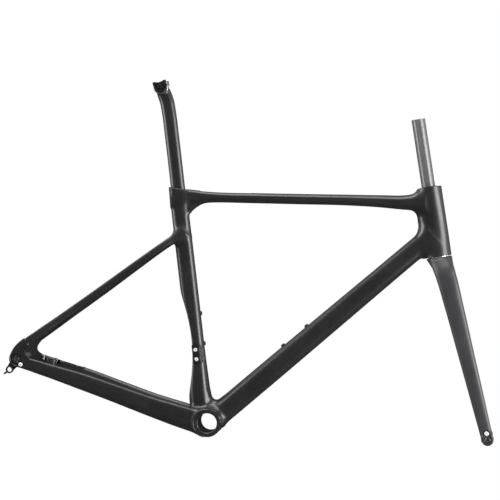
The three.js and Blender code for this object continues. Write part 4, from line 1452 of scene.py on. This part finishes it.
# ---------------------------------------------------------------------------------------------
# The fork
# ---------------------------------------------------------------------------------------------
@dataclass
class Fork:
    """The fork: crown and blades in one moulding, the steerer, and the fittings in its tips."""

    voxel: float = 1.8
    arch_radius: float = 352.0
    tyre_half: float = 20.5
    tip_radius: float = 12.4
    brake_pitch: float = 70.0

    def __post_init__(self) -> None:
        """Works out the brake seat's place and directions."""
        head = LAYOUT.head
        run = head.at(-210, 25.6) - head.at(-310, 35.2)
        self.blade_up = run / np.linalg.norm(run)
        self.blade_rear = np.array((-self.blade_up[2], 0.0, self.blade_up[0]))
        self.brake_seat = head.at(-296, 20.6, 49.4)

    def blade(self, side: Side) -> Loft:
        """One blade, from inside the crown to the axle."""
        sizes = (
            (-9, 2.2, 20, 20.5, 7.0, 2.4),
            (-26, 5.9, 26.5, 21.2, 10.4, 2.7),
            (-50, 9.6, 30.6, 20.9, 11.0, 2.8),
            (-110, 16, 35, 19.3, 10.2, 2.6),
            (-210, 25.6, 42.5, 16.7, 9, 2.6),
            (-310, 35.2, 51, 14.2, 7.6, 2.6),
            (-LAYOUT.fork_length, 42.7, 56.5, 12.2, 6.5, 2.8),
        )
        stations = [
            Station(LAYOUT.head.at(along, ahead, y * side.value), depth, width, square)
            for along, ahead, y, depth, width, square in sizes
        ]
        return Loft(stations)

    def crown(self) -> Loft:
        """The crown, a little taller than it ends up."""
        rows = (
            (-60, 10.6, 14.5, 33, 2.8),
            (-44, 8.6, 18.6, 38.0, 2.8),
            (-27, 5.8, 21.6, 36.6, 2.7),
            (-11, 2.1, 25.0, 31.2, 2.3),
            (-1.6, 0.1, 26.9, 27.2, 2),
            (8, -0.1, 27.2, 26, 2),
        )
        return Loft(stations_on(LAYOUT.head, rows), LAYOUT.head)

    def moulding(self) -> Moulding:
        """Crown, blades and tips, blended."""
        body = Moulding(self.voxel)
        body.add(self.crown())
        axle = LAYOUT.front_axle
        for side in Side:
            body.add(self.blade(side), 7)
            inner, outer = FRONT_HUB_HALF * side.value, FRONT_FACE * side.value
            body.add(Barrel(axle, self.tip_radius, inner, outer, 1.2), 4)
        body.add(pad(self.brake_seat, self.blade_up, self.blade_rear, (46.0, 7.5), (1.0, -12.0)), 6)
        body.cut(Barrel(axle, self.arch_radius, -self.tyre_half, self.tyre_half, 0.0), 7)
        for side in Side:
            hub = Barrel(axle, 40, 20 * side.value, FRONT_HUB_HALF * side.value, 0.0)
            body.cut(hub, 1.0)
        return body

    def tip_insert_outline(self, grow: float = 0.0) -> Array:
        """The side view of the insert in the right tip: a stadium round the axle and its screw."""
        half = 9.6 + grow
        points = [*arc((0, -5.5), half, 180, 360, 32), *arc((-1.5, 9), half - 2, 0, 180, 32)]
        return outline_of(points, self.insert_middle)

    @property
    def insert_middle(self) -> Array:
        """The middle of the right tip's insert, a little above the axle."""
        return LAYOUT.front_axle + 4 * LAYOUT.head.up

    @property
    def tip_screw(self) -> Array:
        """The place of the screw above the axle in the right tip."""
        return self.insert_middle + 9.4 * LAYOUT.head.up

    def cutters(self) -> list[Raw]:
        """Everything that is machined or moulded into the fork with crisp edges."""
        head, axle = LAYOUT.head, LAYOUT.front_axle
        face, top = FRONT_FACE, -CROWN_GAP
        edge = ((26.2, top), (28.2, top - 1.1), (40, top - 1.1))
        socket = ((0, -100), (16.7, -100), (16.7, top - 0.6), (17.3, top), *edge, (40, 40), (0, 40))
        recess = ((0, face - 3), (10.8, face - 3), (10.8, face - 0.6), (14, face + 2.6), (0, face + 2.6))
        tilt = math.degrees(math.atan2(self.blade_up[2], self.blade_up[0]))
        return [
            turned(socket, head.at(0), head.up, 96),
            drill(axle, 6.4, -90, 90),
            along_y(axle, recess),
            prism(self.tip_insert_outline(0.35), -face + 2.6, -face - 6),
            drill(self.tip_screw, 2.7, -52, -70, 32),
            brick(self.brake_seat + 10 * self.blade_rear, (100, 34, 20), tilt),
            *(turned(INSERT_POCKET, place, self.blade_rear, 40) for place in self.brake_places()),
        ]

    def brake_places(self) -> list[Array]:
        """The places of the front brake's two inserts."""
        return [self.brake_seat + share * self.brake_pitch * self.blade_up for share in HALVES]

    def steerer(self) -> Raw:
        """The steerer, wider at its foot than at its top."""
        radius, foot, inner, top = 14.3, 16.4, 11.8, 291.0
        profile = (
            (inner, -30),
            (foot, -30),
            (foot, 22),
            (15.6, 60),
            (radius, 100),
            (radius, top - 0.5),
            (radius - 0.5, top),
            (inner + 0.4, top),
            (inner, top - 0.4),
            (inner, -30),
        )
        return turned(profile, LAYOUT.head.at(0), LAYOUT.head.up, 96)

    def build(self, shop: Workshop) -> None:
        """Makes the fork's pieces."""
        nodes = ["fork_crown", *(f"fork_blade_{side.word}" for side in Side)]
        shell = moulded("fork_shell", self.moulding(), self.cutters())
        # The fork's matte carbon has a lighter base tone than the frame's, painted in for the brighter light
        # on the fork.
        shop.mount(shell, Slot.MATTE_CARBON, "fork", nodes)
        shop.small("steerer_tube", self.steerer(), Slot.SANDED_CARBON, "fork", "steerer")
        for number, place in enumerate(self.brake_places(), 1):
            node = f"front_brake_insert_{number}"
            raw = threaded_insert(place, self.blade_rear)
            shop.small(f"{node}_turned", raw, Slot.BLACK_ALLOY, "fork", node)
        face = -FRONT_FACE
        holes = [drill(LAYOUT.front_axle, 7.4, -80, -50), drill(self.tip_screw, 2.7, -80, -50, 32)]
        plate = prism(self.tip_insert_outline(), face + 0.2, face + 2.2)
        shop.small("tip_insert_plate", plate, Slot.RUBBER, "fork", "fork_tip_insert", holes, 0.4)
        profile = ((0, 0), (2.2, 0), (2.2, 6.4), (4.6, 6.4), (4.6, 7.5), (3.9, 8.3), (0, 8.3))
        place = self.tip_screw + (face + 6.3) * LEFT
        screw = turned(profile, place, RIGHT, 40)
        socket = hexagon(self.tip_screw, 3.0, place[1] - 7, place[1] - 12)
        shop.small("tip_screw_turned", screw, Slot.STEEL, "fork", "fork_tip_screw", [socket], 0.25)


def threaded_insert(place: Array, direction: Array) -> Raw:
    """A flanged insert with its face at a place, and ridges like a thread in its bore."""
    bore, foot, ridge, step = 2.5, -8, 0.18, 0.5
    wall = [(bore + ridge * (n % 2), foot + step * n) for n in range(15, 0, -1)]
    flange = ((3.4, -1.5), (4.8, -1.5), (4.8, -0.3), (4.5, 0), (2.9, 0))
    return turned(((bore, foot), (3.4, foot), *flange, *wall, (bore, foot)), place, direction, 40)


# ---------------------------------------------------------------------------------------------
# Rear end, axles and small fittings
# ---------------------------------------------------------------------------------------------
@dataclass
class RearFittings:
    """The derailleur hanger with its nut and screw, and the rear brake's inserts."""

    hanger_thickness: float = 3.2
    notches: int = 8

    def hanger(self, shop: Workshop) -> None:
        """Makes the derailleur hanger with its eye and stop."""
        axle, inner = LAYOUT.rear_axle, -REAR_HUB_HALF
        eye = axle + np.array((HANGER_EYE[0], 0.0, HANGER_EYE[1]))
        plate = prism(hanger_outline(), inner, inner - self.hanger_thickness)
        made = plate.object("derailleur_hanger_plate")
        radius, end = HANGER_EYE_RADIUS, inner - 7.5
        boss = along_y(eye, ((0, inner), (radius, inner), (radius, end + 0.6), (radius - 0.6, end), (0, end)))
        stop = brick(np.array((eye[0] - 6.6, inner - 3.75, eye[2] - 7.6)), (9, 7.5, 3.4), 42)
        for raw in (boss, stop):
            combine(made, raw, "UNION")
        holes = (
            drill(axle, 6.4, -60, -90),
            drill(eye, 5, -60, -90),
            drill(HANGER_SCREW, 2.4, -60, -90, 32),
        )
        carve(made, holes)
        soften(made, 0.4)
        smooth(made)
        shop.mount(made, Slot.BLACK_ALLOY, "frame", ["derailleur_hanger"])

    def hanger_nut(self, shop: Workshop) -> None:
        """Makes the ring nut that holds the hanger, notched round its rim."""
        foot = LAYOUT.rear_axle + (REAR_HUB_HALF + 3.5) * RIGHT
        bore = 6.4
        flange = ((10.9, 2.8), (10.9, 4.9), (10.3, 5.4), (7, 5.4))
        profile = ((bore, 0), (8.4, 0), (8.4, 2.8), *flange, (bore, 4.8), (bore, 0))
        notches = []
        for turn in np.linspace(0, 360, self.notches, endpoint=False):
            rim = SideLine(foot[0], foot[2], turn).at(9.8, 0.0, foot[1] - 5)
            notches.append(brick(rim, (3.4, 2.4, 2.6), turn))
        raw = turned(profile, foot, RIGHT, 96)
        shop.small("hanger_nut_notched", raw, Slot.BLACK_ALLOY, "frame", "hanger_nut", notches, 0.2)

    def hanger_screw(self, shop: Workshop) -> None:
        """Makes the hanger's small screw."""
        inner = -REAR_HUB_HALF
        profile = ((0, 0), (2, 0), (2, 9.3), (4.2, 9.3), (4.2, 10.7), (3.5, 11.5), (0, 11.5))
        raw = turned(profile, HANGER_SCREW + inner * LEFT, RIGHT, 40)
        socket = hexagon(HANGER_SCREW, 2.6, inner - 10.1, inner - 14)
        shop.small("hanger_screw_turned", raw, Slot.STEEL, "frame", "hanger_screw", [socket], 0.25)

    def build(self, shop: Workshop) -> None:
        """Makes the pieces."""
        self.hanger(shop)
        self.hanger_nut(shop)
        self.hanger_screw(shop)
        profile = ((0, 0), (2.0, 0), (2.0, 11.2), (1.6, 11.6), (0, 11.6))
        for number, (centre, back) in enumerate(zip(WINDOWS, (0.0, 4.4), strict=True), 1):
            foot = centre + back * STAY_BACK + 4.5 * LEFT - 6.0 * STAY_UP
            rod = turned(profile, foot, STAY_UP, 32)
            shop.small(f"window_rod_{number}_turned", rod, Slot.BARE_ALLOY, "frame")
        for number, share in enumerate(HALVES, 1):
            node = f"rear_brake_insert_{number}"
            raw = threaded_insert(BRAKE_SEAT + share * BRAKE_PITCH * STAY_BACK, STAY_UP)
            shop.small(f"{node}_turned", raw, Slot.BARE_ALLOY, "frame", node)


@dataclass
class Axle:
    """A through axle with its flanged head on the left and its thread on the right."""

    node: str
    body: str
    centre: Array
    head_face: float
    tip: float
    head_radius: float
    head_height: float = 2.8
    radius: float = 6.0
    thread_length: float = 14.0
    pitch: float = 1.0
    thread_depth: float = 0.45
    socket: float = 6.0

    def build(self, shop: Workshop) -> None:
        """Makes the axle with its thread and both tool sockets."""
        length = self.head_face - self.tip
        radius, head, rim = self.radius, self.head_radius, 0.9
        thread = []
        for turn in range(int(self.thread_length / self.pitch)):
            crest = 1 + turn * self.pitch
            thread += [(radius, crest), (radius - self.thread_depth, crest + self.pitch / 2)]
        profile = [
            (0, 0),
            (radius - 1, 0),
            *thread,
            (radius - 0.3, 1 + self.thread_length),
            (radius, 1.6 + self.thread_length),
            (radius, length - self.head_height),
            (head, length - self.head_height),
            (head, length - rim),
            (head - rim, length),
            (0, length),
        ]
        sockets = [
            hexagon(self.centre, self.socket, self.head_face - 5, self.head_face + 4),
            hexagon(self.centre, self.socket, self.tip - 4, self.tip + 6),
        ]
        raw = turned(profile, self.centre + self.tip * LEFT, LEFT, 64)
        shop.small(f"{self.node}_shaft", raw, Slot.BARE_ALLOY, self.body, self.node, sockets)


@dataclass
class SmallFittings:
    """The bottle bolts, the front derailleur's plate with its screws, and the post clamp's cover."""

    plate_size: tuple[float, float, float] = (14.0, 6.0, 40.0)
    plate_side: float = -0.5
    groove_pitch: float = 4.2
    groove_steps: tuple[int, ...] = (-4, -1, 0, 1, 4)
    tilt: float = 90 - LAYOUT.seat_angle

    def bottle_bolts(self, shop: Workshop) -> None:
        """Makes the four bottle bolts, with domed heads."""
        shank, neck = 3, 5.2
        dome = ((4.7, 1.0), (4.5, 2.3), (3.4, 3.4), (1.7, 3.9), (0, 3.9))
        profile = ((0, -10.8), (shank, -10.8), (shank, -0.1), (neck, -0.1), (neck, 0.6), *dome)
        socket = ((0, 2), (1.45, 2), (1.45, 5), (0, 5))
        for node, place, face in bottle_places():
            made = turned(profile, place, face, 48).object(f"{node}_turned")
            carve(made, [turned(socket, place, face, 6)])
            smooth(made, 40)
            shop.mount(made, Slot.BLACK_ALLOY, "frame", [node])

    def plate(self, shop: Workshop) -> None:
        """Makes the front derailleur's grooved plate, and the ribbed strip beside it."""
        seat = LAYOUT.seat
        cuts = []
        for step in self.groove_steps:
            place = seat.at(DERAILLEUR_ALONG + step * self.groove_pitch, self.plate_side, -23.2)
            cuts.append(brick(place, (15, 1.4, 1.5), self.tilt))
        hole, seat_floor, over = (2.2, 4.4, 5.0), -20.3, -30
        steps = ((hole[1], seat_floor), (hole[1], -22.3), (hole[2], -23.1), (hole[2], over))
        profile = ((0, -15), (hole[0], -15), (hole[0], seat_floor), *steps, (0, over))
        cuts += [along_y(self.screw_place(share, 0), profile, 40) for share in HALVES]
        plate = brick(seat.at(DERAILLEUR_ALONG, self.plate_side, -20), self.plate_size, self.tilt)
        name = "derailleur_plate"
        shop.small(f"{name}_ribbed", plate, Slot.BLACK_ALLOY, "frame", name, cuts, 0.35)
        strip = brick(seat.at(DERAILLEUR_ALONG, 11.6, -15.2), (8.8, 3.2, 35.8), self.tilt)
        places = [seat.at(DERAILLEUR_ALONG, 8.6 + 2.9 * number, -17.2) for number in range(3)]
        ribs = [brick(place, (1.3, 2.4, 40), self.tilt) for place in places]
        shop.small("derailleur_strip_ribbed", strip, Slot.BARE_ALLOY, "frame", "", ribs, 0.3)

    def screw_place(self, share: float, y: float) -> Array:
        """The place of a screw of the derailleur's plate."""
        return LAYOUT.seat.at(DERAILLEUR_ALONG + share * PLATE_SCREW_PITCH, self.plate_side, y)

    def build(self, shop: Workshop) -> None:
        """Makes the pieces."""
        self.bottle_bolts(shop)
        self.plate(shop)
        screw = ((0, -2), (1.9, -2), (1.9, 0.6), (4.2, 0.6), (4.2, 2.0), (3.4, 3.0), (0, 3.4))
        for number, share in enumerate(HALVES, 1):
            place = self.screw_place(share, -20)
            node = f"derailleur_plate_screw_{number}"
            socket = hexagon(place, 2.6, place[1] - 1.8, place[1] - 8)
            raw = turned(screw, place, RIGHT, 40)
            shop.small(f"{node}_turned", raw, Slot.STEEL, "frame", node, [socket], 0.2)
        cover = brick(np.array((-112.0, 0.0, LAYOUT.top_height + 0.6)), (27, 11, 2.4), 3)
        shop.small("clamp_cover_plug", cover, Slot.RUBBER, "frame", "clamp_cover", edge=0.9)


# ---------------------------------------------------------------------------------------------
# Seatpost and saddle clamp
# ---------------------------------------------------------------------------------------------
CLAMP_TILT = 22.0
CLAMP_UP = SideLine(CLAMP_PIVOT[0], CLAMP_PIVOT[2], 90 + CLAMP_TILT).up
CLAMP_BORE = 3.4
HEAD_TRIM = 17.0


@dataclass
class Seatpost:
    """The post: a straight aero section whose head sweeps back to the clamp's pivot."""

    voxel: float = 1.2
    depth: float = 15.0
    width: float = 11.5
    square: float = 2.3
    boss_radius: float = 15.0
    boss_half: float = 12.5

    def build(self, shop: Workshop) -> None:
        """Makes the post."""
        bends = ((-130, 0), (-60, 0), (0, 0), (110, 0), (160, -0.5), (187, -2.5))
        rows = [(along, side, self.depth) for along, side in bends]
        rows.append((203, -6.4, self.depth - 0.3))
        stations = stations_on(LAYOUT.post, rows, self.width, self.square)
        stations.append(Station(CLAMP_PIVOT, self.depth - 4, self.width, self.square))
        body = Moulding(self.voxel)
        body.add(Loft(stations))
        body.add(Barrel(CLAMP_PIVOT, self.boss_radius, -self.boss_half, self.boss_half, 1.0), 5)
        hole = drill(CLAMP_PIVOT, CLAMP_BORE, -30, 30, 40)
        top = brick(CLAMP_PIVOT + HEAD_TRIM * CLAMP_UP, (60, 40, 20), CLAMP_TILT)
        made = moulded("seatpost_shell", body, [hole, top])
        shop.mount(made, Slot.SATIN_CARBON, "post", ["seatpost"])


@dataclass
class SaddleClamp:
    """The saddle clamp: an inner cradle and an outer ear on each side, on one cross bolt."""

    ear_radius: float = 13.0
    disc_radius: float = 15.8
    half_length: float = 14.0
    saddle_height: float = 8.5
    horn_height: float = 11.5
    rail_spacing: float = 22.0
    rail_height: float = 7.2
    rail_radius: float = 3.6
    ear_thickness: float = 8.5
    bolt_radius: float = 3.0
    body: str = "saddle_clamp"

    @property
    def outer_face(self) -> float:
        """How far the ears' outer faces lie from the middle plane."""
        return self.rail_spacing + self.ear_thickness

    def outline(self, horn_height: float) -> Array:
        """A clamp piece's side view: round below, with a horn at each end of a hollow top."""
        half, horn, foot = self.half_length, 4.5, 2.0
        hollow = ((half - horn, horn_height), (0, self.saddle_height - 1.5), (horn - half, horn_height))
        points = [
            (-half, horn_height),
            (-half, foot),
            *arc((0, 0), self.ear_radius, 190.8, 349.2, 40),
            (half, foot),
            (half, horn_height),
            *bend(*hollow, 16),
        ]
        return outline_of(points)

    def tipped(self, raw: Raw) -> Raw:
        """A mesh made level about the pivot, tipped nose up and moved to its place."""
        turn = np.array(Matrix.Rotation(math.radians(-CLAMP_TILT), 3, "Y"))
        return raw.placed(turn, CLAMP_PIVOT)

    def side_pieces(self, shop: Workshop, side: Side, bore: Raw) -> None:
        """Makes one side's disc, cradle and ear.

        Args:
            shop: the workshop.
            side: the side.
            bore: the bolt's hole through all of them.
        """
        sign, gap = side.value, 0.15
        spacing, face = self.rail_spacing, self.outer_face
        rail_profile = ((0, -40), (self.rail_radius, -40), (self.rail_radius, 40), (0, 40))
        rail_place = np.array((0, spacing * sign, self.rail_height))
        rail = self.tipped(turned(rail_profile, rail_place, AHEAD, 40))
        bolt_hole, near, far, radius = 3.6, 12.9, 16.4, self.disc_radius
        outer = ((radius - 1, near), (radius, near + 1), (radius, far - 1.2), (radius - 1.2, far))
        rim = side.of(((bolt_hole, near), *outer, (bolt_hole, far), (bolt_hole, near)))
        disc = self.tipped(along_y(ORIGIN, rim, 96))
        above = brick(CLAMP_PIVOT + HEAD_TRIM * CLAMP_UP, (60, 60, 20), CLAMP_TILT)
        name = f"clamp_disc_{side.word}_turned"
        shop.small(name, disc, Slot.BARE_ALLOY, self.body, "", [above])
        outline = self.outline(self.saddle_height + 1.5)
        cradle = self.tipped(prism(outline, 16.6 * sign, (spacing - gap) * sign))
        node = f"clamp_cradle_{side.word}"
        shop.small(f"{node}_body", cradle, Slot.BARE_ALLOY, self.body, node, [rail, bore], 0.6)
        ear = prism(self.outline(self.horn_height), (spacing + gap) * sign, face * sign)
        cuts = [rail, bore]
        if side is Side.RIGHT:
            dish = ((0, face - 1.2), (6.6, face - 1.2), (7.2, face + 2), (0, face + 2))
            cuts.append(self.tipped(along_y(ORIGIN, side.of(dish))))
        node = f"clamp_ear_{side.word}"
        shop.small(f"{node}_body", self.tipped(ear), Slot.BLACK_ALLOY, self.body, node, cuts, 0.9)

    def build(self, shop: Workshop) -> None:
        """Makes the clamp's pieces."""
        bore = self.tipped(drill(ORIGIN, CLAMP_BORE, -60, 60, 40))
        for side in Side:
            self.side_pieces(shop, side, bore)
        face, radius = self.outer_face, self.bolt_radius
        shank = ((0, -face - 2.6), (radius - 0.4, -face - 2.6), (radius, -face - 2.2), (radius, face - 1))
        head = ((5.2, face - 1), (5.2, face + 2.6), (4.5, face + 3.4), (0, face + 3.4))
        bolt = self.tipped(turned((*shank, *head), ORIGIN, RIGHT, 48))
        socket = self.tipped(hexagon(ORIGIN, 4.0, -face - 1, -face - 9))
        node = "clamp_bolt"
        shop.small(f"{node}_turned", bolt, Slot.BLACK_ALLOY, self.body, node, [socket], 0.25)
        inner, rim = radius + 0.3, ((6.4, face + 0.2), (6.4, face + 2.2), (5.6, face + 3))
        profile = ((inner, face + 0.2), *rim, (inner, face + 3), (inner, face + 0.2))
        nut = self.tipped(turned(profile, ORIGIN, LEFT, 48))
        shop.small("clamp_nut_turned", nut, Slot.BLACK_ALLOY, self.body, "clamp_nut")


# ---------------------------------------------------------------------------------------------
# Carried-over nodes, studio and camera
# ---------------------------------------------------------------------------------------------
def dress_inner_nodes(shop: Workshop) -> None:
    """Gives the headset's rings and the post's wedge their finishes."""
    finishes = {
        "lower_bearing": Slot.STEEL,
        "upper_bearing": Slot.STEEL,
        "crown_race": Slot.STEEL,
        "compression_ring": Slot.BLACK_ALLOY,
        "post_wedge": Slot.BLACK_ALLOY,
        "post_wedge_bolt": Slot.STEEL,
    }
    for node, slot in finishes.items():
        shop.dress(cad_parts[node], slot)


@dataclass
class Studio:
    """A plain white studio: the floor, a soft surround and three softboxes."""

    floor_height: float = -0.272
    floor_far: float = 0.62
    floor_size: float = 3.2
    middle: tuple[float, float, float] = (0.03, 0.0, 0.33)
    glow: Profile = (
        (0.0, 0.07),
        (0.40, 0.10),
        (0.48, 0.8),
        (0.62, 1.25),
        (0.76, 0.8),
        (0.86, 0.12),
        (1.0, 0.05),
    )

    def floor(self) -> None:
        """Lays a pale floor below the frameset."""
        half = self.floor_size / 2
        low_y = self.floor_far - self.floor_size
        corners = [(-half, low_y), (half, low_y), (half, self.floor_far), (-half, self.floor_far)]
        mesh = bpy.data.meshes.new("floor")
        mesh.from_pydata([(x, y, self.floor_height) for x, y in corners], [], [(0, 1, 2, 3)])
        made = bpy.data.objects.new("floor", mesh)
        bpy.context.scene.collection.objects.link(made)
        nodes = Nodes("floor")
        nodes.fix("Base Color", (0.9, 0.9, 0.9, 1))
        nodes.fix("Roughness", 0.8)
        mesh.materials.append(nodes.material)
        made.visible_glossy = False

    def surround(self) -> None:
        """Lights the scene from all round: bright behind and above, dim from in front."""
        world = bpy.data.worlds.new("studio")
        bpy.context.scene.world = world
        world.use_nodes = True
        world.node_tree.nodes.clear()
        nodes = Tree(world.node_tree)
        split = nodes.add("ShaderNodeSeparateXYZ")
        nodes.link(nodes.add("ShaderNodeTexCoord").outputs["Generated"], split.inputs[0])
        half = nodes.add("ShaderNodeMath", operation="MULTIPLY_ADD", in_1=0.5, in_2=0.5)
        nodes.link(split.outputs["Y"], half.inputs[0])
        stops = [(place, (value, value, value)) for place, value in self.glow]
        soft = nodes.add("ShaderNodeBackground")
        nodes.link(nodes.ramp(half.outputs[0], stops), soft.inputs["Color"])
        nodes.link(nodes.spread(split.outputs["Z"], 0.12, 1.0, -0.45, 0.15), soft.inputs["Strength"])
        plain = nodes.add("ShaderNodeBackground", in_color=(1, 1, 1, 1))
        mix = nodes.add("ShaderNodeMixShader")
        nodes.link(nodes.add("ShaderNodeLightPath").outputs["Is Camera Ray"], mix.inputs["Fac"])
        nodes.link(soft.outputs[0], mix.inputs[1])
        nodes.link(plain.outputs[0], mix.inputs[2])
        out = nodes.add("ShaderNodeOutputWorld")
        nodes.link(mix.outputs[0], out.inputs["Surface"])

    def softbox(self, name: str, place: Sequence[float], size: tuple[float, float], power: float) -> None:
        """Hangs a rectangular softbox that looks at the middle of the frameset.

        Args:
            name: its name.
            place: where it hangs, in metres.
            size: its width and height, in metres.
            power: its power in watts.
        """
        light = bpy.data.lights.new(name, "AREA")
        light.shape = "RECTANGLE"
        light.size, light.size_y = size
        light.energy = power
        made = bpy.data.objects.new(name, light)
        made.location = place
        look = Vector(self.middle) - Vector(place)
        made.rotation_euler = look.to_track_quat("-Z", "Y").to_euler()
        made.visible_camera = False
        bpy.context.scene.collection.objects.link(made)

    def build(self) -> None:
        """Sets up the studio."""
        self.floor()
        self.surround()
        self.softbox("top_softbox", (-0.6, -0.7, 2.5), (3.0, 1.3), 80.0)
        self.softbox("rear_softbox", (-2.7, -0.9, 0.6), (1.3, 2.4), 80.0)
        self.softbox("nose_softbox", (2.7, -1.4, 0.6), (1.8, 2.4), 150.0)
        view = bpy.context.scene.view_settings
        view.view_transform = "Standard"
        view.look = "None"


def make_camera() -> None:
    """Stands the camera far off on the frameset's right side, turned slightly about its own axis."""
    place = np.array((430.29, -5000.0, 514.81))
    target = np.array((26.33, 0.0, 372.15))
    roll = math.radians(9.524)
    forward = (target - place) / np.linalg.norm(target - place)
    level = np.array((math.cos(roll), 0.0, math.sin(roll)))
    right = level - np.dot(level, forward) * forward
    right /= np.linalg.norm(right)
    up = np.cross(right, forward)
    camera = bpy.data.cameras.new("camera")
    camera.lens = 171.24
    camera.sensor_width = 36.0
    camera.clip_start, camera.clip_end = 0.1, 50.0
    made = bpy.data.objects.new("camera", camera)
    bpy.context.scene.collection.objects.link(made)
    turn = Matrix(np.stack((right, up, -forward), axis=1).tolist()).to_4x4()
    made.matrix_world = Matrix.Translation(Vector(place * MM)) @ turn
    bpy.context.scene.camera = made


def main() -> None:
    """Builds the frameset on its frame."""
    make_camera()
    shop = Workshop()
    FrameShell().build(shop)
    Fork().build(shop)
    RearFittings().build(shop)
    Axle("rear_axle", "rear_axle", LAYOUT.rear_axle, REAR_FACE + 0.2, 0.8 - REAR_FACE, 10.4).build(shop)
    Axle("front_axle", "front_axle", LAYOUT.front_axle, FRONT_FACE + 0.2, 0.4 - FRONT_FACE, 10.0).build(shop)
    SmallFittings().build(shop)
    Seatpost().build(shop)
    SaddleClamp().build(shop)
    dress_inner_nodes(shop)
    Studio().build()


if __name__ == "__main__":
    main()
